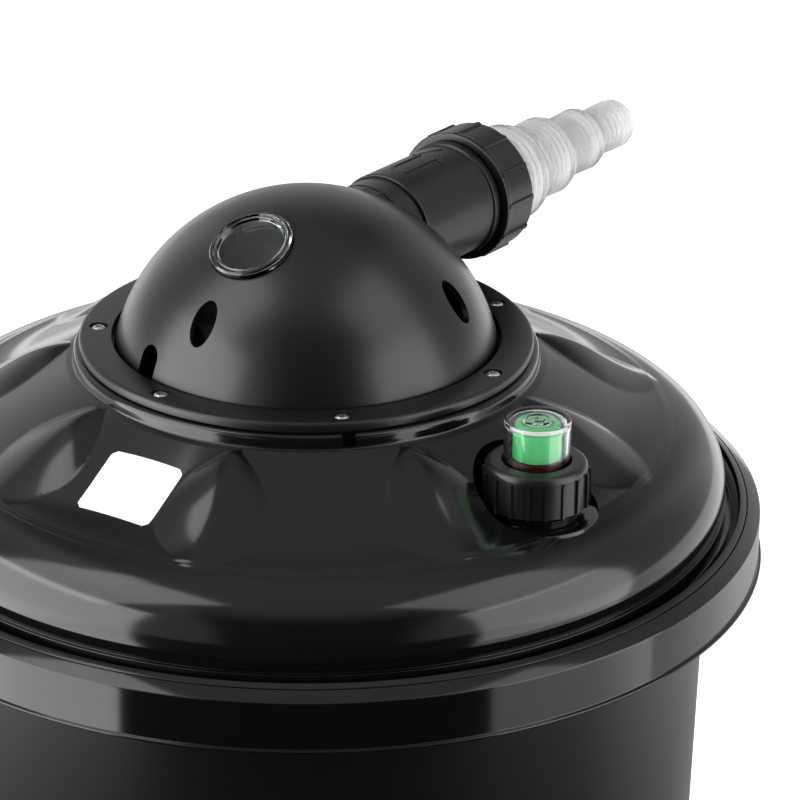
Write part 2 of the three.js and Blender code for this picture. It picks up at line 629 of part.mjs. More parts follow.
// ---------------------------------------------------------------- outlet
const beadZ = PIPE_END - PIPE_FLANGE - NUT_LIP - 2 * GAP - 1;
add('outlet_pipe', moved(revolve([
  [BORE_R, STUB_END + GAP], [PIPE_R, STUB_END + GAP], [PIPE_R, beadZ - PIPE_BEAD],
  [PIPE_BEAD_R, beadZ - PIPE_BEAD], [PIPE_BEAD_R, beadZ], [PIPE_R, beadZ], [PIPE_R, PIPE_END - PIPE_FLANGE],
  [PIPE_FLANGE_R, PIPE_END - PIPE_FLANGE], [PIPE_FLANGE_R, PIPE_END], [BORE_R, PIPE_END],
], MID_FACETS), outletFrame), LOOK.satin);

function ribbedBlank(radius, rib, count, z0, z1) {
  const outline = ring(count * 4, i => {
    const step = i % 4;
    const a = (Math.floor(i / 4) + [0, 0.64, 0.7, 0.94][step]) * 360 / count * RAD;
    const r = radius + (step < 2 ? 0 : rib);
    return [r * Math.cos(a), r * Math.sin(a)];
  });
  return extrude(outline, z0, z1);
}

// Union parts are made from the face of the pipe they close on, along +Z.
const TAIL_FACE = GAP + UNION_SEAL + GAP;
const TAIL_START = TAIL_FACE + TAIL_FLANGE;
const NUT_BACK = -PIPE_FLANGE - GAP - NUT_LIP;
const NUT_FRONT = NUT_BACK + NUT_LENGTH;

const unionSeal = () => tube(PIPE_FLANGE_R - 1, BORE_R + 1, GAP, GAP + UNION_SEAL, FINE_FACETS);

function unionNut() {
  const blank = ribbedBlank(NUT_R, NUT_RIB, NUT_RIB_COUNT, NUT_BACK, NUT_FRONT);
  const lip = rod(PIPE_R + RUN, NUT_BACK - 1, TAIL_FACE, MID_FACETS);
  const thread = rod(PIPE_FLANGE_R + RUN, NUT_BACK + NUT_LIP, TAIL_START + GAP, MID_FACETS);
  const mouth = rod(TAIL_STEPS[0] + RUN, TAIL_FACE, NUT_FRONT + 1, MID_FACETS);
  return blank.subtract(lip).subtract(thread).subtract(mouth);
}

function hoseTail() {
  const foot = i => TAIL_START + i * TAIL_STEP_LENGTH;
  const outer = TAIL_STEPS.flatMap((r, i) => [
    [r, foot(i) + (i ? 1 : NUT_LENGTH - NUT_LIP)], [r + TAIL_BARB, foot(i + 1) - TAIL_BARB_EDGE],
  ]);
  const last = TAIL_STEPS.length - 1;
  const inner = TAIL_STEPS.map((r, i) => [r - TAIL_WALL, foot(i + 1) - (i < last ? TAIL_WALL : 0)]);
  return revolve([
    [TAIL_STEPS[0] - TAIL_WALL, TAIL_FACE], [PIPE_FLANGE_R, TAIL_FACE], [PIPE_FLANGE_R, TAIL_START],
    [TAIL_STEPS[0], TAIL_START], ...outer, [TAIL_STEPS.at(-1), foot(TAIL_STEPS.length)], ...inner.reverse(),
  ], FINE_FACETS);
}

function addUnion(prefix, frame, faceAt) {
  const matrix = frame.clone().multiply(new THREE.Matrix4().makeTranslation(0, 0, faceAt));
  add(`${prefix}_seal`, moved(unionSeal(), matrix), LOOK.rubber);
  add(`${prefix}_union_nut`, moved(unionNut(), matrix), LOOK.satin);
  add(`${prefix}_hose_tail`, moved(hoseTail(), matrix), LOOK.clear);
}
addUnion('outlet', outletFrame, PIPE_END);
addUnion('inlet', level(PORT_AZ, INLET_Z), BASE_R + INLET_STUB);

// ---------------------------------------------------------------- flow indicator
const gaugeSealZ = GAUGE_BOSS_TOP + GAP;
const bulbFoot = gaugeSealZ + GAUGE_SEAL + GAP;
add('gauge_seal', atGauge(tube(GAUGE_BOSS_R - 2 * GAP, DUCT_R + GAP, gaugeSealZ, gaugeSealZ + GAUGE_SEAL,
  FINE_FACETS)), LOOK.rubber);

function gaugeNut() {
  const r = GAUGE_NUT_R + GAUGE_NUT_RIB;
  const blank = ribbedBlank(GAUGE_NUT_R, GAUGE_NUT_RIB, GAUGE_NUT_RIB_COUNT, GAUGE_NUT_Z, GAUGE_NUT_TOP);
  const rounding = revolve([
    [0, GAUGE_NUT_Z - 1], [r + 1, GAUGE_NUT_Z - 1], [r + 1, GAUGE_NUT_TOP - GAUGE_NUT_EDGE],
    [r + 1 - GAUGE_NUT_EDGE, GAUGE_NUT_TOP], [0, GAUGE_NUT_TOP],
  ], MID_FACETS);
  const thread = rod(GAUGE_BOSS_R + RUN, 0, bulbFoot + BULB_FLANGE + GAP, MID_FACETS);
  return blank.intersect(rounding).subtract(thread).subtract(rod(GAUGE_NUT_BORE, 0, BULB_TOP, MID_FACETS));
}
add('gauge_nut', atGauge(gaugeNut()), LOOK.satin);

function bulb() {
  const [inR, inTop] = [BULB_R - BULB_WALL, BULB_TOP - BULB_WALL];
  return revolve([
    [inR, bulbFoot], [BULB_FLANGE_R, bulbFoot], [BULB_FLANGE_R, bulbFoot + BULB_FLANGE],
    [BULB_R, bulbFoot + BULB_FLANGE], [BULB_R, BULB_TOP - BULB_EDGE], [BULB_R - 1, BULB_TOP - 1],
    [BULB_R - BULB_EDGE, BULB_TOP], [0, BULB_TOP], [0, inTop], [inR - BULB_WALL, inTop],
    [inR, inTop - BULB_WALL],
  ], FINE_FACETS);
}
add('gauge_bulb', atGauge(bulb()), LOOK.clear);

const greenZ = FLOAT_TOP - FLOAT_GREEN;
const redZ = greenZ - GAP - FLOAT_RED;
add('gauge_float', atGauge(revolve([
  [0, greenZ], [FLOAT_R, greenZ], [FLOAT_R, FLOAT_TOP], [FLOAT_R - FLOAT_RIM, FLOAT_TOP],
  [FLOAT_R - FLOAT_RIM, FLOAT_TOP - FLOAT_DISH], [0, FLOAT_TOP - FLOAT_DISH],
], FINE_FACETS)), LOOK.green);
add('gauge_red_band', atGauge(rod(FLOAT_R, redZ, redZ + FLOAT_RED, FINE_FACETS)), LOOK.red);

// Guide stem: its foot is a spider that rests in the boss; its rod carries the spring.
const SPIDER_Z = GAUGE_PAD_Z - GAUGE_PAD;
const spiderBar = turn => turned(box(2 * (DUCT_R - GAP), SPIDER, SPIDER, 0, 0, SPIDER_Z + SPIDER / 2), turn);
const guide = rod(GUIDE_R, SPIDER_Z, redZ - FLOAT_TRAVEL - GAP, FINE_FACETS);
add('gauge_stem', atGauge(together([spiderBar(0), spiderBar(90), guide])), LOOK.satin);

class Coil extends THREE.Curve {
  constructor(radius, height, turns) {
    super();
    Object.assign(this, { radius, height, turns });
  }

  getPoint(t) {
    const a = t * this.turns * 2 * Math.PI;
    return new THREE.Vector3(this.radius * Math.cos(a), this.radius * Math.sin(a), t * this.height);
  }
}

function gaugeSpring() {
  const low = SPIDER_Z + SPIDER + GAP + SPRING_WIRE / 2;
  const high = redZ - GAP - SPRING_WIRE / 2;
  const section = new THREE.Shape(ring(5, i => new THREE.Vector2(
    SPRING_WIRE / 2 * Math.cos(i * 72 * RAD), SPRING_WIRE / 2 * Math.sin(i * 72 * RAD))));
  const wire = new THREE.ExtrudeGeometry(section, {
    steps: Math.round(SPRING_COILS) * 6, extrudePath: new Coil(SPRING_R, high - low, SPRING_COILS),
  });
  return solid(wire.translate(0, 0, low));
}
add('gauge_spring', atGauge(gaugeSpring()), LOOK.steel);

// ---------------------------------------------------------------- lamp
function sleeve() {
  const [low, inR] = [RIM_Z + SLEEVE_BOTTOM, SLEEVE_R - SLEEVE_WALL];
  return revolve([
    [0, low], [SLEEVE_R - SLEEVE_TIP / 2, low + SLEEVE_WALL], [SLEEVE_R, low + SLEEVE_TIP],
    [SLEEVE_R, SLEEVE_TOP], [inR, SLEEVE_TOP], [inR, low + SLEEVE_TIP + SLEEVE_WALL],
    [0, low + SLEEVE_TIP - SLEEVE_WALL],
  ], FINE_FACETS);
}
add('quartz_sleeve', sleeve(), LOOK.glass);

const holderZ = SLEEVE_TOP + GAP;
add('lamp_holder', revolve([
  [0, holderZ], [SLEEVE_SEAL_R, holderZ], [SLEEVE_SEAL_R, holderZ + HOLDER_HEIGHT / 2],
  [SLEEVE_R, holderZ + HOLDER_HEIGHT], [0, holderZ + HOLDER_HEIGHT],
], FINE_FACETS), LOOK.white);
add('sleeve_seal', tube(SLEEVE_SEAL_R, SLEEVE_R + GAP, COLUMN_Z - SLEEVE_SEAL, SLEEVE_TOP, FINE_FACETS),
  LOOK.rubber);

function lamp() {
  const top = holderZ - GAP;
  const base = rod(SLEEVE_R - SLEEVE_WALL - RUN, top - LAMP_BASE, top, FINE_FACETS);
  const legs = [-1, 1].map(side => shifted(
    rod(LAMP_TUBE_R, top - LAMP_LENGTH, top - LAMP_BASE + 1, FINE_FACETS), side * LAMP_PITCH, 0, 0));
  const bridge = box(2 * LAMP_PITCH, LAMP_TUBE_R / 2, LAMP_TUBE_R, 0, 0, top - LAMP_LENGTH + 2 * LAMP_TUBE_R);
  return together([base, ...legs, bridge]);
}
add('uv_lamp', lamp(), LOOK.white);

const ballastX = COLUMN_R + GAP;
const glandX = ballastX + BALLAST[0] + GAP;
const ballast = box(...BALLAST, ballastX + BALLAST[0] / 2, 0, HEAD_FLOOR + GAP + BALLAST[2] / 2);
add('ballast', turned(ballast, CABLE_SLOT_AZ), LOOK.white);
const gland = tube(GLAND_R, GLAND_BORE, glandX, DOME_FOOT_R - CABLE_ROOM, FINE_FACETS)
  .add(tube(GLAND_R + GLAND_LIP - GAP, GLAND_BORE, glandX, glandX + GLAND_LIP, FINE_FACETS));
add('cable_gland', moved(gland, level(CABLE_SLOT_AZ, HEAD_FLOOR + GAP + GLAND_Z)), LOOK.rubber);

const shroud = tube(SHROUD_R, SHROUD_R - SHROUD_WALL, RIM_Z + SHROUD_BOTTOM, gasketZ + GASKET, MID_FACETS);
add('uv_chamber_tube', shroud, LOOK.satin);

// ---------------------------------------------------------------- media inside the drum
const GRATE_TOP = GRATE_Z + GRATE_THICK;
const cageLow = GRATE_TOP + GAP;

// A flat ring with a circle of flow holes.
function flowPlate(inner, z0, z1) {
  const hole = shifted(rod(FLOW_HOLE_R, z0 - 1, z1 + 1, HOLE_FACETS), FLOW_HOLE_PCD, 0, 0);
  const holes = ring(FLOW_HOLE_COUNT, i => turned(hole, i * 360 / FLOW_HOLE_COUNT));
  return tube(PLATE_R, inner, z0, z1, MID_FACETS).subtract(together(holes));
}

function grate() {
  const [low, legR] = [FLOOR + GAP, PLATE_R - GRATE_LEG_INSET];
  const leg = box(...GRATE_LEG, GRATE_Z + 1 - low, legR, 0, (GRATE_Z + 1 + low) / 2);
  const legs = ring(GRATE_LEG_COUNT, i => turned(leg, PORT_AZ + (i + 0.5) * 360 / GRATE_LEG_COUNT));
  return together([flowPlate(CAGE_R - CAGE_WALL - GRATE_LIP, GRATE_Z, GRATE_TOP), ...legs]);
}
add('media_grate', grate(), LOOK.satin);

function cage() {
  const tall = CAGE_TOP - cageLow - 2 * CAGE_BAND;
  const slot = box(REACH, CAGE_SLOT_WIDTH, tall, 0, 0, (CAGE_TOP + cageLow) / 2);
  const slots = ring(CAGE_SLOT_COUNT / 2, i => turned(slot, i * 360 / CAGE_SLOT_COUNT));
  return tube(CAGE_R, CAGE_R - CAGE_WALL, cageLow, CAGE_TOP, MID_FACETS).subtract(together(slots));
}
add('centre_cage', cage(), LOOK.satin);

for (let i = 0; i < FOAM_COUNT; i += 1) {
  const z0 = cageLow + i * (FOAM_HEIGHT + GAP);
  add(`foam_ring_${i + 1}`, tube(MEDIA_R, CAGE_R + GAP, z0, z0 + FOAM_HEIGHT, MID_FACETS), LOOK.foam);
}
const plateZ = cageLow + FOAM_COUNT * (FOAM_HEIGHT + GAP);
const plateTop = plateZ + PLATE_THICK;
add('media_plate', flowPlate(CAGE_R + GAP, plateZ, plateTop), LOOK.satin);
const cageNutBlank = ribbedBlank(CAGE_R + CAGE_NUT_WIDTH, CAGE_NUT_RIB, CAGE_NUT_RIB_COUNT, plateTop + GAP,
  plateTop + CAGE_NUT_HEIGHT);
add('cage_nut', cageNutBlank.subtract(rod(CAGE_R + GAP, plateZ, RIM_Z, MID_FACETS)), LOOK.satin);

export default filter;
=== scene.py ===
"""Looks of the pond filter: fine lid, dome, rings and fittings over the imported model."""
import json
import math

import bmesh
import bpy
from mathutils import Matrix, Vector


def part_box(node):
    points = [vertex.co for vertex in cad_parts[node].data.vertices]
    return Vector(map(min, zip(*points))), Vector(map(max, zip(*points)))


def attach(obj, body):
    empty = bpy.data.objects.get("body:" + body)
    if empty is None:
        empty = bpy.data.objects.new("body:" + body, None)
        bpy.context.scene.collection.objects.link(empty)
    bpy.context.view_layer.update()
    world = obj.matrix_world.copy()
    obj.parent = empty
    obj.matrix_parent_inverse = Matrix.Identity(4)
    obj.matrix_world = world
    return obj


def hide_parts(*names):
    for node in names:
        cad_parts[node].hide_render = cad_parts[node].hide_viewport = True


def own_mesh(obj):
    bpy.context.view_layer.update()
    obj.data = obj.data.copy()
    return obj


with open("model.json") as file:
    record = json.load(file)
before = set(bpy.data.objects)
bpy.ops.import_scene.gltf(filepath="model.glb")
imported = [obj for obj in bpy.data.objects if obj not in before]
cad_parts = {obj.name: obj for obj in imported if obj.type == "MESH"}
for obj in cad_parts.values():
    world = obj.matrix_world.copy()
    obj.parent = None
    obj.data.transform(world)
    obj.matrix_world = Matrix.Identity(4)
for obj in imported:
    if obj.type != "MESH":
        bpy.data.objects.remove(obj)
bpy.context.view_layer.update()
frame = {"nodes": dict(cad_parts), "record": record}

# ---------------------------------------------------------------- sizes, in millimetres
MM = 0.001
RIM_Z = 350.0
BAND_R, BAND_DEPTH, BAND_WALL, BAND_LIP = 190.0, 19.5, 5.6, 1.3
DRUM_R, DRUM_DRAFT, DRUM_WALL, DRUM_FLOOR, BASE_EDGE = 168.8, 7.0, 4.0, 5.0, 7.0
SEAT_Z = RIM_Z - 7.3
SEAL_IN, SEAL_OUT = 171.8, 177.4
THREAD_R = BAND_R - BAND_WALL

LID_R, LID_WALL, LID_FLANGE_R = 175.0, 4.2, 183.2
FLANGE_TOP, FLANGE_LOW = -2.3, -7.0
LID_INSIDE = [(164, 17), (150, 27), (140, 31), (127, 37), (99, 53)]
SHOULDER_POINTS = [
    (151, 36.0), (154, 35.1), (158, 33.6), (162, 31.6), (165.4, 29.3), (168.3, 26.7),
    (170.8, 23.7), (172.8, 20.3), (174.2, 16.6), (174.9, 13), (175, 10.5),
]
SHOULDER_STEPS = 60
PETALS, PETAL_AZ, PETAL_TIPS, PETAL_HALF = 9, -106.5, (97.8, 154.0), 10.0
PETAL_RISE, PETAL_FOLD, PETAL_FADE = 7.6, 1.5, 0.65
FLUTE_IN, FLUTE_IN_Z, FLUTE_END, FLUTE_STEPS = 99.0, 61.5, 162.0, 126
LID_FACETS = PETALS * 56
PANEL_SLOPE, PANEL_BEND, PANEL_FOOT_SLOPE = 0.575, 127.0, 0.17
NECK_R, COLLAR_R, COLLAR_TOP, COLLAR_DEPTH = 76.0, 96.2, 68.0, 12.0
KEY_AZ, KEY_WIDTH = -80.0, 5.4
LABEL_AZ, LABEL_IN, LABEL_SIZE = -124.2, 109.6, (34.4, 25.6)
LABEL_CORNER, LABEL_TOP, LABEL_UNDER, LABEL_COLUMNS, LABEL_ROWS = 2.2, 0.45, 0.12, 24, 16

RING_IN, RING_OUT, RING_TOP, RING_DEPTH = 178.0, 184.1, 3.6, 5.4
RING_LIP, RING_LIP_RISE = 2.7, 1.3
SEAT_DROP = 3.7
HEAD_FLANGE_R = 88.0
CLAMP_IN, CLAMP_R, CLAMP_LOW, CLAMP_TOP = 80.2, 93.8, 68.3, 72.4
SCREWS, SCREW_AZ, SCREW_PCD, SCREW_HEAD_R = 7, -80.8, 86.1, 3.1
SCREW_TURN, SCREW_TURN_STEP = 0.7, 1.9   # of the cross recesses, in radians
DOME_R, DOME_CENTRE, DOME_WALL, DOME_SPLIT = 81.2, 51.2, 2.6, 41.0
SIGHT_AZ, SIGHT_EL, SIGHT_R = -126.0, 62.0, 17.6
VENT_EL, VENT_LONG, VENT_WIDE, VENT_SPACING = 34.8, 20.0, 10.8, 103.0
SLOT_AZ, SLOT_WIDTH, SLOT_TOP = -145.7, 10.5, 15.5

PORT_AZ, OUTLET_Z, INLET_Z = 51.9, 101.6, 62.0
STUB_R, STUB_END, PIPE_R, PIPE_BORE, PIPE_END = 22.6, 52.0, 24.0, 20.0, 111.3
PIPE_FLANGE_R, PIPE_FLANGE, PIPE_BEAD_R, PIPE_BEAD = 26.0, 5.0, 25.0, 4.0
NUT_R, NUT_LENGTH, NUT_LIP = 27.7, 19.5, 3.4
NUT_RIB, NUT_RIBS, NUT_RIB_WIDTH = 0.9, 12, 2.4
TAIL_STEPS, TAIL_STEP, TAIL_WALL, TAIL_RINGS = (20.6, 16.6, 13.2, 10.3), 27.0, 2.2, (3, 7)
GAP, RUN, UNION_SEAL, TAIL_FLANGE = 0.3, 0.6, 2.4, 4.0
INLET_FACE = DRUM_R - DRUM_DRAFT + 26.0

GAUGE_AZ, GAUGE_R, GAUGE_PAD_Z, GAUGE_PAD_R = -46.5, 131.0, 36.2, 25.0
GAUGE_BOSS_R, GAUGE_BOSS_TOP, GAUGE_BOSS_WALL = 17.6, 52.0, 3.0
GAUGE_NUT_R, GAUGE_NUT_LOW, GAUGE_NUT_TOP, GAUGE_NUT_BORE = 20.6, 41.0, 58.5, 14.0
GAUGE_NUT_RIB, GAUGE_NUT_RIBS, GAUGE_NUT_RIB_WIDTH = 1.1, 18, 1.5
BULB_R, BULB_FOOT, BULB_TOP, BULB_FLANGE_R = 13.2, 53.8, 75.6, 16.6
FLOAT_R, FLOAT_TOP, FLOAT_LOW = 9.6, 72.0, 60.0
SPRING_R, SPRING_WIRE, SPRING_COILS, FLOAT_TRAVEL = 6.6, 1.2, 4, 10.0

ROOM_FILL, ROOM_FRONT, ROOM_TOP, ROOM_BACK, ROOM_SIDE = 0.45, 0.04, 0.7, 0.8, 0.65
FLOOR_GLOW, FLOOR_SIDE, FLOOR_FRONT = 0.72, 1.0, 0.02
# where each of the room's brightnesses starts and is full, as shares of a ray's direction
ROOM_RISE, ROOM_DEPTH, ROOM_FLANKS = (0.66, 1.0), (0.45, 1.0), ((-0.32, -0.45), (0.36, 0.62))
# the same for the floor, in metres, and how fast its bright sides draw apart in front
FLOOR_FLANKS, FLOOR_DEPTH, FLOOR_SLANT = (0.4, 0.85), (-0.5, 0.8), 1.2
FLOOR_SIZE, FLOOR_Z = 12, -0.0005
LAMP_WATTS = 4                   # of a square metre of lamp at brightness 1
# name, degrees round from +Y, then metres: distance, middle's height, width, height;
# brightness, height that it aims at (its own if None)
SOFTBOXES = [
    ("left_softbox", -112, 0.7, 0.43, 0.74, 0.84, 4.0, None),
    ("left_softbox_high", -104, 1.05, 1.65, 1.0, 1.2, 2.3, 0.4),
    ("right_softbox", 118, 0.75, 0.485, 0.6, 0.73, 2.4, None),
    ("right_softbox_low", 118, 0.75, 0.06, 0.6, 0.12, 1.2, None),
    ("right_softbox_high", 112, 1.05, 1.6, 1.0, 1.0, 1.4, 0.4),
]

# camera, from the photograph's circles: place in metres, angles in degrees
CAMERA_PLACE = Vector((0.0, -1.46357, 1.03278))
CAMERA_YAW, CAMERA_PITCH, CAMERA_ROLL = 1.520, 23.648, 0.751
CAMERA_LENS = 173.04


# ---------------------------------------------------------------- outlines and meshes
def polar(radius, degrees, z=0.0):
    a = math.radians(degrees)
    return Vector((radius * math.cos(a), radius * math.sin(a), z))


def rounded(points, steps=4, closed=True):
    """Points (r, z) or (r, z, fillet): each fillet becomes an arc."""
    out = []
    count = len(points)
    for i, point in enumerate(points):
        fillet = point[2] if len(point) > 2 else 0
        here = Vector(point[:2])
        if not fillet or (not closed and i in (0, count - 1)):
            out.append(here)
            continue
        before = Vector(points[i - 1][:2]) - here
        after = Vector(points[(i + 1) % count][:2]) - here
        half = before.angle(after) / 2
        cut = min(fillet / math.tan(half), before.length * 0.49, after.length * 0.49)
        start, end = here + before.normalized() * cut, here + after.normalized() * cut
        for k in range(steps + 1):
            t = k / steps
            out.append(start.lerp(here, t).lerp(here.lerp(end, t), t))
    return [(p.x, p.y) for p in out]


def build(name, vertices, faces, matrix=None, sharp=32):
    mesh = bpy.data.meshes.new(name)
    matrix = matrix or Matrix.Identity(4)
    mesh.from_pydata([(matrix @ Vector(v)) * MM for v in vertices], [], faces)
    work = bmesh.new()
    work.from_mesh(mesh)
    bmesh.ops.recalc_face_normals(work, faces=work.faces)
    work.to_mesh(mesh)
    work.free()
    finish_mesh(mesh, sharp)
    piece = bpy.data.objects.new(name, mesh)
    bpy.context.scene.collection.objects.link(piece)
    return piece


def finish_mesh(mesh, sharp):
    mesh.polygons.foreach_set("use_smooth", [True] * len(mesh.polygons))
    mesh.set_sharp_from_angle(angle=math.radians(sharp))
    mesh.update()


def lathe(name, outline, facets=96, matrix=None, sharp=32, at=None):
    """Closed outline of (r, z) turned about Z. at(r, z, degrees) may move a point."""
    on_axis = abs(outline[0][0]) < 1e-6
    rings = outline[1:-1] if on_axis else outline
    vertices, faces = [], []
    for j in range(facets):
        degrees = 360 * j / facets
        for r, z in rings:
            vertices.append(at(r, z, degrees) if at else polar(r, degrees, z))
    n = len(rings)
    for j in range(facets):
        k = (j + 1) % facets
        for i in range(n - 1 if on_axis else n):
            m = (i + 1) % n
            faces.append((j * n + i, k * n + i, k * n + m, j * n + m))
    if on_axis:
        first, last = len(vertices), len(vertices) + 1
        vertices += [Vector((0, 0, outline[0][1])), Vector((0, 0, outline[-1][1]))]
        for j in range(facets):
            k = (j + 1) % facets
            faces.append((first, k * n, j * n))
            faces.append((last, j * n + n - 1, k * n + n - 1))
    return build(name, vertices, faces, matrix, sharp)


def prism(name, outline, low, high, matrix=None, sharp=32):
    n = len(outline)
    vertices = [(x, y, low) for x, y in outline] + [(x, y, high) for x, y in outline]
    faces = [tuple(range(n))[::-1], tuple(range(n, 2 * n))]
    faces += [(i, (i + 1) % n, n + (i + 1) % n, n + i) for i in range(n)]
    return build(name, vertices, faces, matrix, sharp)


def evaluated(piece):
    graph = bpy.context.evaluated_depsgraph_get()
    mesh = bpy.data.meshes.new_from_object(piece.evaluated_get(graph))
    piece.modifiers.clear()
    piece.data = mesh
    return piece


def cut(piece, *tools, operation="DIFFERENCE", sharp=32):
    for tool in tools:
        step = piece.modifiers.new("cut", "BOOLEAN")
        step.operation, step.solver, step.object = operation, "EXACT", tool
        evaluated(piece)
        bpy.data.objects.remove(tool)
    finish_mesh(piece.data, sharp)
    return piece


def bevel(piece, width, segments=2, angle=32):
    step = piece.modifiers.new("bevel", "BEVEL")
    step.width, step.segments, step.limit_method = width * MM, segments, "ANGLE"
    step.angle_limit = math.radians(angle)
    evaluated(piece)
    finish_mesh(piece.data, angle + 8)
    return piece


def level(azimuth, z):
    """Z of a piece made along +Z turns to point level along azimuth, X points up."""
    out = polar(1, azimuth)
    up = Vector((0, 0, 1))
    side = out.cross(up)
    return Matrix((
        (up.x, side.x, out.x, 0), (up.y, side.y, out.y, 0), (up.z, side.z, out.z, z), (0, 0, 0, 1),
    ))


def out_of_dome(azimuth, elevation):
    a, e = math.radians(azimuth), math.radians(elevation)
    out = Vector((math.cos(a) * math.cos(e), math.sin(a) * math.cos(e), math.sin(e)))
    side = Vector((-math.sin(a), math.cos(a), 0))
    up = out.cross(side)
    return Matrix((
        (side.x, up.x, out.x, 0), (side.y, up.y, out.y, 0),
        (side.z, up.z, out.z, RIM_Z + DOME_CENTRE), (0, 0, 0, 1),
    ))


def dress(piece, material, body, slot, *nodes):
    piece.data.materials.clear()
    piece.data.materials.append(material)
    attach(piece, body)
    if nodes:
        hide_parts(*nodes)
    return piece


# ---------------------------------------------------------------- materials
def shader(name, **values):
    material = bpy.data.materials.new(name)
    material.use_nodes = True
    surface = material.node_tree.nodes["Principled BSDF"]
    for socket, value in values.items():
        surface.inputs[socket.replace("_", " ")].default_value = value
    return material, material.node_tree, surface


def noise_between(tree, scale, low, high, detail=4, stretch=None):
    """A noise in object space, mapped to run from low to high."""
    place = tree.nodes.new("ShaderNodeTexCoord")
    source = place.outputs["Object"]
    if stretch:
        mapping = tree.nodes.new("ShaderNodeMapping")
        mapping.inputs["Scale"].default_value = stretch
        tree.links.new(source, mapping.inputs["Vector"])
        source = mapping.outputs["Vector"]
    texture = tree.nodes.new("ShaderNodeTexNoise")
    texture.inputs["Scale"].default_value = scale
    texture.inputs["Detail"].default_value = detail
    tree.links.new(source, texture.inputs["Vector"])
    spread = tree.nodes.new("ShaderNodeMapRange")
    spread.inputs["From Min"].default_value, spread.inputs["From Max"].default_value = 0.3, 0.7
    spread.inputs["To Min"].default_value, spread.inputs["To Max"].default_value = low, high
    tree.links.new(texture.outputs["Fac"], spread.inputs["Value"])
    return texture.outputs["Fac"], spread.outputs["Result"]


def add_bump(tree, surface, height, strength, distance):
    bump = tree.nodes.new("ShaderNodeBump")
    bump.inputs["Strength"].default_value = strength
    bump.inputs["Distance"].default_value = distance
    tree.links.new(height, bump.inputs["Height"])
    tree.links.new(bump.outputs["Normal"], surface.inputs["Normal"])


def tint(tree, surface, factor, first, second):
    mix = tree.nodes.new("ShaderNodeMix")
    mix.data_type = "RGBA"
    mix.inputs[6].default_value, mix.inputs[7].default_value = (*first, 1), (*second, 1)
    tree.links.new(factor, mix.inputs[0])
    tree.links.new(mix.outputs[2], surface.inputs["Base Color"])


def math_node(tree, operation, first, second, clamp=False):
    node = tree.nodes.new("ShaderNodeMath")
    node.operation, node.use_clamp = operation, clamp
    for socket, value in zip(node.inputs, (first, second)):
        if isinstance(value, (int, float)):
            socket.default_value = value
        else:
            tree.links.new(value, socket)
    return node.outputs[0]


def ramp(tree, value, start, end, low, high):
    """A smooth step from low to high as value goes from start to end."""
    node = tree.nodes.new("ShaderNodeMapRange")
    node.interpolation_type = "SMOOTHSTEP"
    for name, number in (("From Min", start), ("From Max", end), ("To Min", low), ("To Max", high)):
        node.inputs[name].default_value = number
    tree.links.new(value, node.inputs["Value"])
    return node.outputs["Result"]


def plastic(name, dark, light, rough, spread, specular=0.35, grain=900, depth=0.00002, stretch=None):
    """Moulded plastic: two near tones, uneven gloss and a fine skin."""
    material, tree, surface = shader(name, Specular_IOR_Level=specular)
    _, gloss = noise_between(tree, 14, rough - spread, rough + spread, 5, stretch)
    tree.links.new(gloss, surface.inputs["Roughness"])
    tone, _ = noise_between(tree, 30, 0, 1, 3, stretch)
    tint(tree, surface, tone, (dark,) * 3, (light, light, light * 1.05))
    skin, _ = noise_between(tree, grain, 0, 1, 2)
    add_bump(tree, surface, skin, 0.35, depth)
    return material


def glossy_above(material, height, rough, width=0.004):
    """Adds that roughness to the wall below height, so the band above it is glossier."""
    tree = material.node_tree
    surface = tree.nodes["Principled BSDF"]
    place = tree.nodes.new("ShaderNodeTexCoord")
    parts = tree.nodes.new("ShaderNodeSeparateXYZ")
    tree.links.new(place.outputs["Object"], parts.inputs[0])
    below = ramp(tree, parts.outputs["Z"], height - width, height, rough, 0.0)
    gloss = surface.inputs["Roughness"].links[0].from_socket
    tree.links.new(math_node(tree, "ADD", gloss, below), surface.inputs["Roughness"])
    return material


def clear(name, colour, rough, ior=1.49, streak=60):
    material, tree, surface = shader(name, Transmission_Weight=1.0, IOR=ior)
    _, gloss = noise_between(tree, streak, rough * 0.6, rough * 1.5, 4)
    tree.links.new(gloss, surface.inputs["Roughness"])
    tone, _ = noise_between(tree, 40, 0, 1, 3)
    tint(tree, surface, tone, colour, tuple(min(1, c * 1.03) for c in colour))
    return material


def hazy_clear_painted_edge_shade(name, middle, edge, rough):
    """Clear plastic with a trace of haze, and painted shade that greys its colour where it is seen edge-on.
    """
    material, tree, surface = shader(name, Transmission_Weight=0.8, IOR=1.35)
    _, gloss = noise_between(tree, 60, rough * 0.7, rough * 1.4, 4)
    tree.links.new(gloss, surface.inputs["Roughness"])
    facing = tree.nodes.new("ShaderNodeLayerWeight")
    facing.inputs["Blend"].default_value = 0.35
    # painted shade: the colour turns from the middle tone to the darker edge tone as the surface is seen
    # edge-on
    tint(tree, surface, facing.outputs["Facing"], middle, edge)
    return material


def metal(name, tone, rough):
    material, tree, surface = shader(name, Metallic=1.0)
    _, gloss = noise_between(tree, 900, rough - 0.06, rough + 0.1)
    tree.links.new(gloss, surface.inputs["Roughness"])
    spot, _ = noise_between(tree, 400, 0, 1)
    tint(tree, surface, spot, (tone * 0.8,) * 3, (tone,) * 3)
    return material


def coloured(name, first, second, rough, grain=700):
    material, tree, surface = shader(name, Specular_IOR_Level=0.4)
    _, gloss = noise_between(tree, 60, rough - 0.05, rough + 0.08)
    tree.links.new(gloss, surface.inputs["Roughness"])
    tone, _ = noise_between(tree, 120, 0, 1)
    tint(tree, surface, tone, first, second)
    skin, _ = noise_between(tree, grain, 0, 1, 2)
    add_bump(tree, surface, skin, 0.3, 0.00002)
    return material


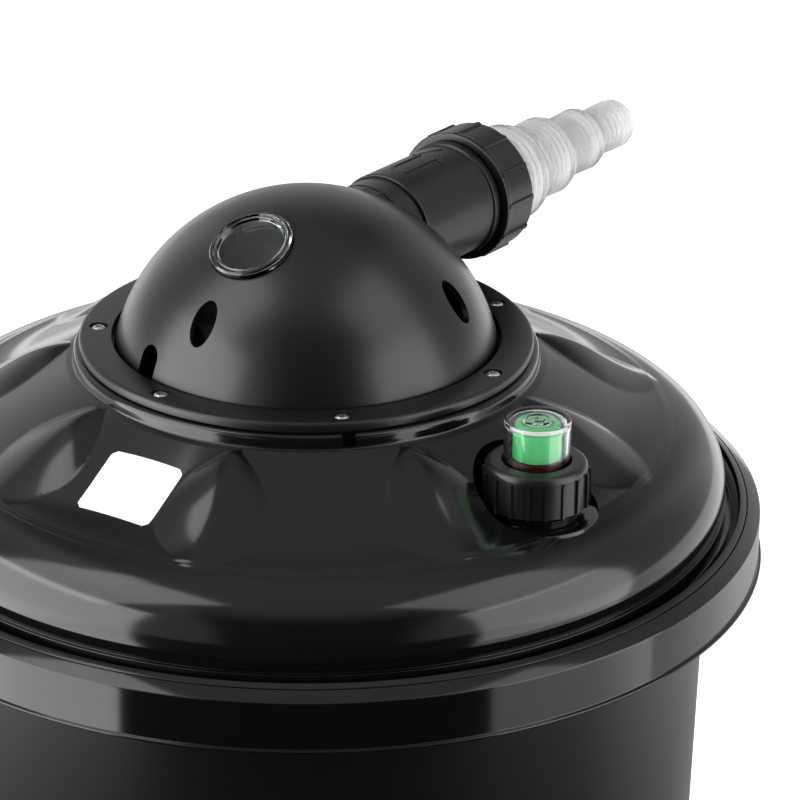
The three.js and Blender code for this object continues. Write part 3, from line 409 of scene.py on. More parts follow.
def foam(name, first, second, cells):
    material, tree, surface = shader(name, Specular_IOR_Level=0.1)
    place = tree.nodes.new("ShaderNodeTexCoord")
    pores = tree.nodes.new("ShaderNodeTexVoronoi")
    pores.inputs["Scale"].default_value = cells
    tree.links.new(place.outputs["Object"], pores.inputs["Vector"])
    tint(tree, surface, pores.outputs["Distance"], first, second)
    add_bump(tree, surface, pores.outputs["Distance"], 0.9, 0.001)
    surface.inputs["Roughness"].default_value = 0.95
    return material


LOOKS = {
    "drum_plastic": glossy_above(
        plastic("drum_black", 0.0015, 0.0025, 0.1, 0.02, 0.42, 500, 0.00001, (1, 1, 0.12)),
        (RIM_Z - BAND_DEPTH - 1.2) * MM, 0.22),
    "lid_plastic": plastic("lid_black", 0.0025, 0.0035, 0.13, 0.02, 0.44, 260, 0.000006),
    "dome_plastic": plastic("dome_black", 0.0035, 0.005, 0.29, 0.03, 0.44, 1400, 0.000015),
    "fitting_plastic": plastic("fitting_black", 0.0035, 0.006, 0.33, 0.05, 0.42, 1200, 0.00002),
    "seal_rubber": plastic("seal_black", 0.006, 0.01, 0.7, 0.06, 0.3, 900, 0.00003),
    "screw_steel": metal("screw_metal", 0.62, 0.28),
    "smoked_lens": clear("sight_lens", (0.4, 0.42, 0.44), 0.03),
    "clear_plastic": hazy_clear_painted_edge_shade("clear_plastic", (0.9, 0.9, 0.9), (0.45, 0.45, 0.46), 0.16),
    "float_green": coloured("float_green", (0.035, 0.42, 0.11), (0.05, 0.5, 0.14), 0.35),
    # the float's red band: its own red, darkened further as painted shade for the nut's shadow that falls
    # on it inside the bulb
    "float_red": coloured("float_red", (0.045, 0.004, 0.004), (0.065, 0.006, 0.006), 0.4),
    "inner_plastic": plastic("inner_grey", 0.03, 0.045, 0.45, 0.06, 0.35),
    "quartz": clear("quartz_clear", (0.97, 0.98, 0.99), 0.02, 1.46),
    "lamp_glass": coloured("lamp_white", (0.78, 0.79, 0.8), (0.84, 0.85, 0.86), 0.3),
    "foam_coarse": foam("foam_blue", (0.02, 0.07, 0.2), (0.008, 0.03, 0.09), 260),
    "foam_fine": foam("foam_ochre", (0.25, 0.2, 0.05), (0.12, 0.09, 0.02), 420),
}
for item in frame["record"]["subparts"]:
    carried = frame["nodes"][item["node"]]
    carried.data.materials.clear()
    carried.data.materials.append(LOOKS[item["material_slot"]])
BULB_LOOK = clear("bulb_clear", (0.93, 0.94, 0.94), 0.025, 1.42)
LABEL_LOOK = coloured("label_paper", (0.88, 0.88, 0.88), (0.91, 0.91, 0.91), 0.45, 2500)


# ---------------------------------------------------------------- drum and locking ring
def drum_wall(z):
    return DRUM_R - DRUM_DRAFT * (1 - z / (RIM_Z - BAND_DEPTH))


def make_drum():
    base = DRUM_R - DRUM_DRAFT
    groove = (SEAL_OUT, SEAL_IN, SEAT_Z - 3.8)
    outline = rounded([
        (base - BASE_EDGE, 0, 4), (drum_wall(BASE_EDGE), BASE_EDGE, 5),
        (DRUM_R, RIM_Z - BAND_DEPTH - 1, 1.2), (BAND_R + BAND_LIP, RIM_Z - BAND_DEPTH - 1, 0.4),
        (BAND_R + BAND_LIP, RIM_Z - BAND_DEPTH, 0.5), (BAND_R, RIM_Z - BAND_DEPTH + 0.5, 0.4),
        (BAND_R, RIM_Z + 0.3, 0.8), (THREAD_R + 0.3, RIM_Z + RING_TOP - 0.1, 0.2),
        (THREAD_R, RIM_Z + RING_TOP - 0.4, 0.2), (THREAD_R, SEAT_Z),
        (groove[0], SEAT_Z), (groove[0], groove[2]), (groove[1], groove[2]), (groove[1], SEAT_Z),
        (DRUM_R - DRUM_WALL, SEAT_Z, 1), (base - DRUM_WALL, DRUM_FLOOR, 4),
    ], 5, closed=False)
    shell = lathe("drum_shell", [(0, 0), *outline, (0, DRUM_FLOOR)], 192)
    port = level(PORT_AZ, INLET_Z)
    boss = lathe("boss", rounded([
        (0, base - 12), (33, base - 12), (33, base + 4, 1.2), (PIPE_R, base + 4, 1.5),
        (PIPE_R, INLET_FACE - PIPE_FLANGE, 0.4), (PIPE_FLANGE_R, INLET_FACE - PIPE_FLANGE, 0.4),
        (PIPE_FLANGE_R, INLET_FACE, 0.6), (0, INLET_FACE),
    ]), 64, port)
    keep_in = lathe("keep_in", [
        (0, DRUM_FLOOR + 0.5), (base - 3.2, DRUM_FLOOR + 0.5), (base - 2.0, 140), (0, 140)], 96)
    bore = lathe("bore", [
        (0, 100), (PIPE_BORE + GAP, 100), (PIPE_BORE + GAP, base + 60), (0, base + 60)], 48, port)
    cut(boss, keep_in)
    cut(shell, boss, operation="UNION")
    cut(shell, bore)
    return dress(shell, LOOKS["drum_plastic"], "drum", "drum_plastic", "drum")


def make_locking_ring():
    top, lip = RIM_Z + RING_TOP, RING_OUT - RING_LIP
    ring = lathe("locking_ring_fine", rounded([
        (RING_IN, top - RING_DEPTH), (RING_OUT, top - RING_DEPTH), (RING_OUT, top, 0.2),
        (lip, top + RING_LIP_RISE, 0.4), (lip - 0.6, top - 1.2, 0.5), (RING_IN, top - 2.4, 0.5),
    ], 3), 192)
    return dress(ring, LOOKS["lid_plastic"], "locking_ring", "lid_plastic", "locking_ring")


# ---------------------------------------------------------------- lid
def spline_table(points, steps):
    """The smooth curve through points, as (r, height) pairs with r growing."""
    out = []
    last = len(points) - 1
    for k in range(steps + 1):
        p = k / steps * last
        i = min(int(p), last - 1)
        t = p - i
        p1, p2 = Vector(points[i]), Vector(points[i + 1])
        p0 = Vector(points[i - 1]) if i > 0 else p1
        p3 = Vector(points[i + 2]) if i + 2 <= last else p2
        v0, v1 = (p2 - p0) / 2, (p3 - p1) / 2
        out.append(tuple(
            (2 * t**3 - 3 * t**2 + 1) * p1 + (t**3 - 2 * t**2 + t) * v0
            + (3 * t**2 - 2 * t**3) * p2 + (t**3 - t**2) * v1))
    return out


SHOULDER_LINE = spline_table(SHOULDER_POINTS, SHOULDER_STEPS)


def panel_height(r):
    """A straight panel that flattens towards the crease at the shoulder's foot."""
    crease, foot = SHOULDER_POINTS[0]
    if r >= crease:
        return next(z0 + (z1 - z0) * (r - r0) / (r1 - r0)
                    for (r0, z0), (r1, z1) in zip(SHOULDER_LINE, SHOULDER_LINE[1:]) if r <= r1)
    bend = min(1.0, max(0.0, (r - PANEL_BEND) / (crease - PANEL_BEND)))
    straight = min(r, PANEL_BEND) - FLUTE_IN
    slope = PANEL_SLOPE + (PANEL_FOOT_SLOPE - PANEL_SLOPE) * bend / 2
    flattened = slope * bend * (crease - PANEL_BEND)
    return FLUTE_IN_Z - PANEL_SLOPE * straight - flattened


def petal_share(r):
    t = (r - PETAL_TIPS[0]) / (PETAL_TIPS[1] - PETAL_TIPS[0])
    return math.sin(math.pi * min(1.0, max(0.0, t)))


def lid_height(r, degrees):
    """Panels with rounded petals raised on them; a petal's edge is a crease."""
    pitch = 360 / PETALS
    off = abs((degrees - PETAL_AZ + pitch / 2) % pitch - pitch / 2)
    lobe = petal_share(r)
    half = PETAL_HALF * lobe**0.7
    soft = sum(panel_height(r + d) for d in (-1.2, -0.6, 0, 0.6, 1.2)) / 5
    if off >= half:
        return soft
    fold = 1 - (off / half) ** PETAL_FOLD
    along = (r - PETAL_TIPS[0]) / (PETAL_TIPS[1] - PETAL_TIPS[0])
    return soft + PETAL_RISE * lobe**0.9 * (1 - along * PETAL_FADE) * fold


def lid_outline():
    """The lid's section as (r, z) from the neck round to the neck; z is None in the flutes."""
    seat = COLLAR_TOP - SEAT_DROP - GAP
    collar = rounded([
        (NECK_R, COLLAR_TOP - COLLAR_DEPTH), (NECK_R, seat), (HEAD_FLANGE_R + RUN, seat),
        (HEAD_FLANGE_R + RUN, COLLAR_TOP), (COLLAR_R, COLLAR_TOP, 3.0),
        (COLLAR_R, FLUTE_IN_Z + 1.0, 1.2), (FLUTE_IN, FLUTE_IN_Z),
    ], 5, closed=False)
    flutes = [(FLUTE_IN + (FLUTE_END - FLUTE_IN) * k / FLUTE_STEPS, None)
              for k in range(1, FLUTE_STEPS + 1)]
    shoulder = [(r, z) for r, z in SHOULDER_LINE if r > FLUTE_END + 0.3]
    foot = rounded([
        (LID_R, 10.5), (LID_R - 1.5, 4.7, 0.2), (LID_R + 0.5, 4.6, 0.3), (LID_R + 0.3, 0, 1),
        (LID_R, FLANGE_TOP, 0.5), (LID_FLANGE_R, FLANGE_TOP), (LID_FLANGE_R, FLANGE_LOW),
        (LID_R - LID_WALL, FLANGE_LOW), (LID_R - LID_WALL - 0.6, 6), *LID_INSIDE,
    ], 3, closed=False)
    return collar + flutes + shoulder + foot[1:]


def make_lid():
    outline = lid_outline()
    fluted = {r for r, z in outline if z is None}

    def place(r, z, degrees):
        degrees += PETAL_AZ % (360 / LID_FACETS)
        height = lid_height(r, degrees) if r in fluted and z is None else z
        return polar(r, degrees, RIM_Z + height)

    lid = lathe("lid_fine", outline, LID_FACETS, at=place, sharp=40)
    axis = polar(GAUGE_R, GAUGE_AZ, RIM_Z)
    at_gauge = Matrix.Translation(axis)
    well_r, well_z = GAUGE_PAD_R - 0.1, GAUGE_PAD_Z - 0.1
    well = lathe("well", rounded([(0, 80), (well_r, 80), (well_r, well_z), (0, well_z)]), 96, at_gauge)
    pad = lathe("pad", rounded([
        (0, 26), (GAUGE_PAD_R, 26), (GAUGE_PAD_R, GAUGE_PAD_Z, 0.8), (0, GAUGE_PAD_Z)]), 96, at_gauge)
    half = KEY_WIDTH / 2
    at_key = (Matrix.Translation((0, 0, RIM_Z)) @ Matrix.Rotation(math.radians(KEY_AZ), 4, "Z")
              @ Matrix.Translation((COLLAR_R, 0, 0)))
    key = prism("key", [(-4, -half), (4, -half), (4, half), (-4, half)],
                COLLAR_TOP - 5, COLLAR_TOP + 1, at_key)
    cut(lid, well, sharp=40)
    cut(lid, pad, operation="UNION", sharp=40)
    cut(lid, key, sharp=40)
    dress(lid, LOOKS["lid_plastic"], "lid", "lid_plastic", "lid")
    root, crest, pitch = GAUGE_BOSS_R - 0.6, GAUGE_BOSS_R + 0.3, 3.2
    turns = [(root, GAUGE_PAD_Z - 1)]
    z = GAUGE_PAD_Z + 1.0
    while z < GAUGE_BOSS_TOP - 3:
        turns += [(root, z), (crest, z + 0.9), (crest, z + 1.5), (root, z + 2.4)]
        z += pitch
    bore = GAUGE_BOSS_R - GAUGE_BOSS_WALL
    boss = lathe("gauge_boss_thread", [
        *turns, (root, GAUGE_BOSS_TOP), (bore, GAUGE_BOSS_TOP), (bore, GAUGE_PAD_Z - 1)], 96, at_gauge)
    dress(boss, LOOKS["lid_plastic"], "lid", "lid_plastic")
    return lid


def make_label():
    """A blank sticker that lies on its panel, with rounded corners."""
    width, height, corner = *LABEL_SIZE, LABEL_CORNER
    mid = polar(LABEL_IN + height / 2, LABEL_AZ)
    across = polar(1, LABEL_AZ + 90)
    down = polar(1, LABEL_AZ)

    def on_panel(x, y, lift):
        flat = mid + across * x + down * y
        r = math.hypot(flat.x, flat.y)
        return (flat.x, flat.y, RIM_Z + panel_height(r) + lift)

    columns, rows = LABEL_COLUMNS, LABEL_ROWS
    top = []
    for j in range(rows + 1):
        y = -height / 2 + height * j / rows
        inset = 0.0
        near = height / 2 - abs(y)
        if near < corner:
            inset = corner - math.sqrt(max(0.0, corner**2 - (corner - near) ** 2))
        for i in range(columns + 1):
            x = (-width / 2 + inset) + (width - 2 * inset) * i / columns
            top.append((x, y))
    count = len(top)
    vertices = [on_panel(x, y, lift) for lift in (LABEL_TOP, LABEL_UNDER) for x, y in top]
    step = columns + 1
    faces = []
    for j in range(rows):
        for i in range(columns):
            a = j * step + i
            b = count + a
            faces += [(a, a + 1, a + step + 1, a + step), (b, b + step, b + step + 1, b + 1)]
    rim = (list(range(step)) + [j * step + columns for j in range(1, rows + 1)]
           + [rows * step + i for i in range(columns - 1, -1, -1)]
           + [j * step for j in range(rows - 1, 0, -1)])
    faces += [(a, b, count + b, count + a) for a, b in zip(rim, rim[1:] + rim[:1])]
    label = build("blank_label", vertices, faces, sharp=50)
    return dress(label, LABEL_LOOK, "lid", "lamp_glass")


# ---------------------------------------------------------------- head
def make_clamp():
    z0, z1 = RIM_Z + CLAMP_LOW, RIM_Z + CLAMP_TOP
    ring = lathe("retaining_ring_fine", rounded([
        (CLAMP_IN, z0), (CLAMP_R, z0, 0.8), (CLAMP_R, z1, 2.0), (CLAMP_IN, z1, 0.5)], 6), 192)
    recess = [lathe(f"recess{i}", rounded([
        (0, z1 - 1.4), (3.9, z1 - 1.4), (3.9, z1 + 2), (0, z1 + 2)], 3), 32,
        Matrix.Translation(polar(SCREW_PCD, SCREW_AZ + i * 360 / SCREWS))) for i in range(SCREWS)]
    cut(ring, *recess)
    dress(ring, LOOKS["fitting_plastic"], "uv_head", "fitting_plastic", "retaining_ring")
    for i in range(SCREWS):
        make_screw(i)


def make_screw(i):
    z = RIM_Z + CLAMP_TOP
    place = (Matrix.Translation(polar(SCREW_PCD, SCREW_AZ + i * 360 / SCREWS))
             @ Matrix.Rotation(SCREW_TURN + SCREW_TURN_STEP * i, 4, "Z"))
    head = lathe(f"screw_{i + 1}", rounded([
        (0, z - 10.6), (2, z - 10.6), (2, z - 1.3), (SCREW_HEAD_R, z - 1.3, 0.2),
        (SCREW_HEAD_R, z - 0.9, 0.4), (1.9, z - 0.12, 0.6), (0, z - 0.1)], 3), 32, place)
    arm = [(-1.7, -0.36), (1.7, -0.36), (1.7, 0.36), (-1.7, 0.36)]
    slots = [prism(f"slot{turn}", arm, z - 1.1, z + 1, place @ Matrix.Rotation(turn, 4, "Z"))
             for turn in (0, math.pi / 2)]
    cut(head, *slots)
    dress(head, LOOKS["screw_steel"], "uv_head", "screw_steel", f"ring_screw_{i + 1}")


def dome_cap(name, radius, foot, facets, rows):
    centre = RIM_Z + DOME_CENTRE
    low = math.asin((foot - centre) / radius)
    angles = [low + (math.pi / 2 - low) * k / rows for k in range(rows)]
    arc = [(radius * math.cos(a), centre + radius * math.sin(a)) for a in angles]
    return lathe(name, [(0, foot), *arc, (0, centre + radius)], facets)


def vent_tool(name, azimuth):
    n = 14
    outline = [(VENT_WIDE / 2 * math.sin(math.pi * k / n), VENT_LONG / 2 * math.cos(math.pi * k / n))
               for k in range(n)]
    outline += [(-x, -y) for x, y in outline]
    return prism(name, outline, DOME_R - 10, DOME_R + 10, out_of_dome(azimuth, VENT_EL))


def make_dome():
    foot = RIM_Z + CLAMP_LOW
    shell = dome_cap("dome_front_fine", DOME_R, foot, 160, 44)
    cut(shell, dome_cap("inner", DOME_R - DOME_WALL, foot - 1, 96, 24))
    port = level(PORT_AZ, RIM_Z + OUTLET_Z)
    arm = lathe("arm", [
        (0, 0), (STUB_R + GAP, 0), (STUB_R + GAP, STUB_END - 1), (PIPE_R + GAP, STUB_END - 1),
        (PIPE_R + GAP, PIPE_END), (0, PIPE_END)], 96, port)
    cut(shell, arm)
    rear = bpy.data.objects.new("dome_rear_fine", shell.data.copy())
    bpy.context.scene.collection.objects.link(rear)
    side = 120
    square = [(-side, -side), (side, -side), (side, side), (-side, side)]
    cut(rear, prism("near", square, -side, DOME_SPLIT, port))
    cut(shell, prism("far", square, DOME_SPLIT - GAP, side, port))
    facing = PORT_AZ - 180
    for k, azimuth in enumerate((facing, facing + VENT_SPACING, facing - VENT_SPACING)):
        cut(shell, vent_tool(f"vent{k}", azimuth))
    half = SLOT_WIDTH / 2
    arch = [(CLAMP_LOW + SLOT_TOP - half + half * math.sin(math.pi * k / 16),
             half * math.cos(math.pi * k / 16)) for k in range(17)]
    slot = prism("slot", [(CLAMP_LOW - 2, half), *arch, (CLAMP_LOW - 2, -half)],
                 DOME_R - 25, DOME_R + 10, level(SLOT_AZ, RIM_Z))
    cut(shell, slot)
    hole = lathe("sight_hole", [
        (0, DOME_R - 12), (SIGHT_R, DOME_R - 12), (SIGHT_R, DOME_R + 5), (0, DOME_R + 5)], 96,
        out_of_dome(SIGHT_AZ, SIGHT_EL))
    cut(shell, hole, sharp=30)
    dress(shell, LOOKS["dome_plastic"], "uv_head", "dome_plastic", "dome_front_cover")
    dress(rear, LOOKS["dome_plastic"], "uv_head", "dome_plastic", "dome_rear_cover")


def make_sight_glass():
    r = SIGHT_R - GAP
    lens = lathe("sight_glass_fine", rounded([
        (0, DOME_R - 6), (r - 2, DOME_R - 6, 0.3), (r - 2, DOME_R - 4.5), (r, DOME_R - 4.5),
        (r, DOME_R + 0.4, 0.3), (r - 0.7, DOME_R + 1.1, 0.3), (r - 1.5, DOME_R + 1.1, 0.3),
        (r - 2.0, DOME_R + 0.3, 0.2), (r - 2.4, DOME_R + 0.3, 0.2), (r - 2.8, DOME_R + 0.9, 0.2),
        (r - 3.3, DOME_R + 0.8, 0.2), (r - 3.9, DOME_R - 0.4, 0.3), (0, DOME_R - 0.2),
    ], 5, closed=False), 96, out_of_dome(SIGHT_AZ, SIGHT_EL))
    dress(lens, LOOKS["smoked_lens"], "uv_head", "smoked_lens", "sight_glass")


# ---------------------------------------------------------------- outlet and unions
def make_pipe():
    bead = PIPE_END - PIPE_FLANGE - NUT_LIP - 2 * GAP - 1
    port = level(PORT_AZ, RIM_Z + OUTLET_Z)
    pipe = lathe("outlet_pipe_fine", rounded([
        (PIPE_BORE, STUB_END + GAP), (PIPE_R, STUB_END + GAP, 0.8), (PIPE_R, bead - PIPE_BEAD, 0.4),
        (PIPE_BEAD_R, bead - PIPE_BEAD + 0.6, 0.5), (PIPE_BEAD_R, bead, 0.4), (PIPE_R, bead),
        (PIPE_R, PIPE_END - PIPE_FLANGE), (PIPE_FLANGE_R, PIPE_END - PIPE_FLANGE),
        (PIPE_FLANGE_R, PIPE_END), (PIPE_BORE, PIPE_END)], 4), 128, port)
    dress(pipe, LOOKS["fitting_plastic"], "uv_head", "fitting_plastic", "outlet_pipe")
    under, skin, start, end = STUB_R - 1.5, STUB_R + 0.12, DOME_SPLIT, STUB_END - 0.2
    sleeve = lathe("stub_sleeve", [(under, start), (skin, start), (skin, end), (under, end)], 96, port)
    dress(sleeve, LOOKS["fitting_plastic"], "uv_head", "fitting_plastic")
    make_arrow(port)


def make_arrow(port):
    """A raised outline arrow on top of the pipe, pointing along the flow."""
    tail, neck, tip, shaft, head, line = 62.0, 82.0, 94.0, 4.2, 8.0, 0.7
    under, over = -0.3, 0.55
    outer = [(tail, shaft), (neck, shaft), (neck, head), (tip, 0),
             (neck, -head), (neck, -shaft), (tail, -shaft)]
    inner = [(tail + line, shaft - line), (neck + line, shaft - line), (neck + line, head - 2.2 * line),
             (tip - 1.9 * line, 0),
             (neck + line, -head + 2.2 * line), (neck + line, -shaft + line),
             (tail + line, -shaft + line)]

    def on_pipe(t, across, lift):
        a = across / PIPE_R
        return port @ Vector(((PIPE_R + lift) * math.cos(a), (PIPE_R + lift) * math.sin(a), t))

    vertices, faces = [], []
    n = len(outer)
    for lift in (under, over):
        vertices += [on_pipe(t, w, lift) for t, w in outer + inner]
    for i in range(n):
        k = (i + 1) % n
        faces += [(2 * n + i, 2 * n + k, 3 * n + k, 3 * n + i), (i, k, 2 * n + k, 2 * n + i),
                  (n + k, n + i, 3 * n + i, 3 * n + k), (k, i, n + i, n + k)]
    arrow = bevel(build("flow_arrow", vertices, faces, sharp=20), 0.2)
    dress(arrow, LOOKS["fitting_plastic"], "uv_head", "fitting_plastic")


def nut_blank(name, radius, rib, ribs, width, low, high, matrix, facets=8):
    """A nut's outside: raised ribs of that width with slanted sides, and plain arcs between."""
    share = width * ribs / (2 * math.pi * radius)
    slant = share * 0.16
    steps = [((1 - share) * i / facets, radius) for i in range(facets + 1)]
    start = 1 - share
    steps += [(t, radius + rib) for t in (start + slant, start + share / 2, 1 - slant)]
    points = []
    for k in range(ribs):
        for t, r in steps:
            turn = 2 * math.pi * (k + t) / ribs
            points.append((r * math.cos(turn), r * math.sin(turn)))
    return prism(name, points, low, high, matrix)


def make_union(prefix, nut_body, tail_body, azimuth, height, face):
    port = level(azimuth, height) @ Matrix.Translation((0, 0, face))
    back = -PIPE_FLANGE - GAP - NUT_LIP
    front = back + NUT_LENGTH
    tail_face = GAP + UNION_SEAL + GAP
    start = tail_face + TAIL_FLANGE
    nut = nut_blank(f"{prefix}_nut_fine", NUT_R, NUT_RIB, NUT_RIBS, NUT_RIB_WIDTH,
                    back + 1.2, front, port)
    collar = lathe("collar", rounded([
        (0, back), (NUT_R + 0.5, back, 0.8), (NUT_R + 0.5, back + 3.2, 0.5), (0, back + 3.2)], 4),
        96, port)
    cut(nut, collar, operation="UNION")
    crown = lathe("crown", rounded([
        (0, back - 1), (NUT_R + 3, back - 1), (NUT_R + 3, front - 2.2), (NUT_R + 0.2, front - 0.9, 0.5),
        (NUT_R - 0.8, front, 0.6), (0, front)], 4), 128, port)
    cut(nut, crown, operation="INTERSECT")
    inside = lathe("inside", [
        (0, back - 1), (PIPE_R + RUN, back - 1), (PIPE_R + RUN, back + NUT_LIP),
        (PIPE_FLANGE_R + RUN, back + NUT_LIP), (PIPE_FLANGE_R + RUN, start + GAP),
        (TAIL_STEPS[0] + RUN, start + GAP), (TAIL_STEPS[0] + RUN, front + 1), (0, front + 1)], 96, port)
    cut(nut, inside, sharp=28)
    dress(nut, LOOKS["fitting_plastic"], nut_body, "fitting_plastic", f"{prefix}_union_nut")

    outer, inner = [], []
    for i, r in enumerate(TAIL_STEPS):
        z0 = start + i * TAIL_STEP
        first = NUT_LENGTH - NUT_LIP - 1 if i == 0 else 0.6
        outer.append((r - 0.1, z0 + first))
        count = TAIL_RINGS[min(i, 1)]
        span = (TAIL_STEP - 2.5 - first) / count
        for k in range(count):
            a = z0 + first + k * span
            lift = 0.25 + 0.65 * (k + 1) / count
            outer += [(r + 0.05, a + span * 0.1), (r + lift * 0.85, a + span * 0.45),
                      (r + lift, a + span * 0.62), (r + lift * 0.5, a + span * 0.85)]
        outer.append((r + 0.1, z0 + TAIL_STEP - 1.2))
    end = start + len(TAIL_STEPS) * TAIL_STEP
    last = len(TAIL_STEPS) - 1
    for i, r in enumerate(TAIL_STEPS):
        z0 = start + i * TAIL_STEP
        inner += [(r - TAIL_WALL, z0 + (2 if i else -TAIL_FLANGE)),
                  (r - TAIL_WALL, z0 + TAIL_STEP - (2 if i < last else 0))]
    outline = [(PIPE_FLANGE_R, tail_face), (PIPE_FLANGE_R, start), (TAIL_STEPS[0] - 0.1, start), *outer,
               (TAIL_STEPS[-1] - 0.6, end), *inner[::-1]]
    tail = lathe(f"{prefix}_tail_fine", outline, 96, port, sharp=50)
    dress(tail, LOOKS["clear_plastic"], tail_body, "clear_plastic", f"{prefix}_hose_tail")


# ---------------------------------------------------------------- flow indicator
def make_gauge():
    here = Matrix.Translation(polar(GAUGE_R, GAUGE_AZ, RIM_Z))
    nut = nut_blank("gauge_nut_fine", GAUGE_NUT_R - 0.2, GAUGE_NUT_RIB, GAUGE_NUT_RIBS,
                    GAUGE_NUT_RIB_WIDTH, GAUGE_NUT_LOW, GAUGE_NUT_TOP - 3.4, here)
    r = GAUGE_NUT_R - 0.3
    top = lathe("top", rounded([
        (0, GAUGE_NUT_TOP - 6), (r, GAUGE_NUT_TOP - 6), (r, GAUGE_NUT_TOP, 3.6),
        (0, GAUGE_NUT_TOP)], 8), 128, here)
    cut(nut, top, operation="UNION")
    inside = lathe("inside", [
        (0, 30), (GAUGE_BOSS_R + RUN, 30), (GAUGE_BOSS_R + RUN, BULB_FOOT + 2.5),
        (GAUGE_NUT_BORE, BULB_FOOT + 2.5), (GAUGE_NUT_BORE, 62), (0, 62)], 96, here)
    cut(nut, inside, sharp=30)
    dress(nut, LOOKS["fitting_plastic"], "gauge_nut", "fitting_plastic", "gauge_nut")

    rings = [(0, BULB_TOP - 1.0), (0.9, BULB_TOP - 0.8), (1.3, BULB_TOP), (2.6, BULB_TOP),
             (2.9, BULB_TOP - 0.5), (4.2, BULB_TOP - 0.5), (4.6, BULB_TOP), (5.6, BULB_TOP),
             (6.0, BULB_TOP - 0.3), (BULB_R - 3.4, BULB_TOP - 0.3)]
    shoulder = rounded([
        (BULB_R - 3.4, BULB_TOP - 0.3), (BULB_R - 2.6, BULB_TOP, 0.4), (BULB_R, BULB_TOP, 2.6),
        (BULB_R, BULB_FOOT + 2.2)], 6, closed=False)
    foot = [(BULB_FLANGE_R, BULB_FOOT + 2.2), (BULB_FLANGE_R, BULB_FOOT), (BULB_R - 1.6, BULB_FOOT)]
    inner = rounded([
        (BULB_R - 1.6, BULB_FOOT), (BULB_R - 1.6, BULB_TOP - 1.9, 2), (0, BULB_TOP - 1.9)],
        6, closed=False)
    bulb = lathe("gauge_bulb_fine", [*rings, *shoulder[1:], *foot, *inner[1:]], 96, here, sharp=40)
    dress(bulb, BULB_LOOK, "lid", "clear_plastic", "gauge_bulb")

    float_ = lathe("gauge_float_fine", rounded([
        (0, FLOAT_LOW), (FLOAT_R, FLOAT_LOW, 0.5), (FLOAT_R, FLOAT_TOP, 0.8), (FLOAT_R - 3, FLOAT_TOP, 0.5),
        (FLOAT_R - 3.6, FLOAT_TOP - 2.4, 0.5), (0, FLOAT_TOP - 2.4)], 4, closed=False), 96, here)
    dress(float_, LOOKS["float_green"], "gauge_float", "float_green", "gauge_float")


def make_spring():
    """The indicator's spring: round wire along a helix, over the height of the CAD spring part."""
    low, high = (corner[2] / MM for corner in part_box("gauge_spring"))
    wire, around, steps = SPRING_WIRE / 2, 10, SPRING_COILS * 28
    foot = polar(GAUGE_R, GAUGE_AZ, low + wire)
    vertices, faces = [], []
    for k in range(steps + 1):
        turn = 360 * SPRING_COILS * k / steps
        for i in range(around):
            a = 2 * math.pi * i / around
            rise = (high - low - SPRING_WIRE) * k / steps + wire * math.sin(a)
            vertices.append(foot + polar(SPRING_R + wire * math.cos(a), turn, rise))
    for k in range(steps):
        for i in range(around):
            m = (i + 1) % around
            faces.append((k * around + i, k * around + m, (k + 1) * around + m, (k + 1) * around + i))
    faces += [tuple(range(around))[::-1], tuple(range(steps * around, (steps + 1) * around))]
    spring = build("gauge_spring_fine", vertices, faces, sharp=50)
    dress(spring, LOOKS["screw_steel"], "lid", "screw_steel", "gauge_spring")
    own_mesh(spring)


# ---------------------------------------------------------------- stage, light and camera
def background_rays(tree):
    """Rays that show the background, and those of them that are a gloss's mirror rays."""
    path = tree.nodes.new("ShaderNodeLightPath")
    camera, glossy, through = (
        path.outputs[name] for name in ("Is Camera Ray", "Is Glossy Ray", "Is Transmission Ray"))
    shown = math_node(tree, "ADD", math_node(tree, "ADD", camera, glossy), through, clamp=True)
    return shown, math_node(tree, "SUBTRACT", glossy, through, clamp=True)


def dimmed(tree, mirror, share):
    """1 for the rays that look straight at the background, share for mirror rays."""
    lost = math_node(tree, "MULTIPLY", mirror, math_node(tree, "SUBTRACT", 1.0, share))
    return math_node(tree, "SUBTRACT", 1.0, lost)


def make_world():
    """A white room behind the object, dim towards the front where the studio is dark."""
    world = bpy.data.worlds.new("studio")
    bpy.context.scene.world = world
    world.use_nodes = True
    tree = world.node_tree
    fill = tree.nodes["Background"]
    fill.inputs["Color"].default_value = (1, 1, 1, 1)
    fill.inputs["Strength"].default_value = ROOM_FILL
    white = tree.nodes.new("ShaderNodeBackground")
    place = tree.nodes.new("ShaderNodeTexCoord")
    parts = tree.nodes.new("ShaderNodeSeparateXYZ")
    tree.links.new(place.outputs["Generated"], parts.inputs[0])
    room = math_node(tree, "ADD", ramp(tree, parts.outputs["Z"], *ROOM_RISE, ROOM_FRONT, ROOM_TOP),
                     ramp(tree, parts.outputs["Y"], *ROOM_DEPTH, 0.0, ROOM_BACK - ROOM_FRONT))
    for start, end in ROOM_FLANKS:
        room = math_node(tree, "ADD", room, ramp(tree, parts.outputs["X"], start, end, 0.0, ROOM_SIDE))
    shown, mirror = background_rays(tree)
    tree.links.new(dimmed(tree, mirror, room), white.inputs["Strength"])
    mix = tree.nodes.new("ShaderNodeMixShader")
    tree.links.new(shown, mix.inputs["Fac"])
    tree.links.new(fill.outputs[0], mix.inputs[1])
    tree.links.new(white.outputs[0], mix.inputs[2])
    tree.links.new(mix.outputs[0], tree.nodes["World Output"].inputs["Surface"])


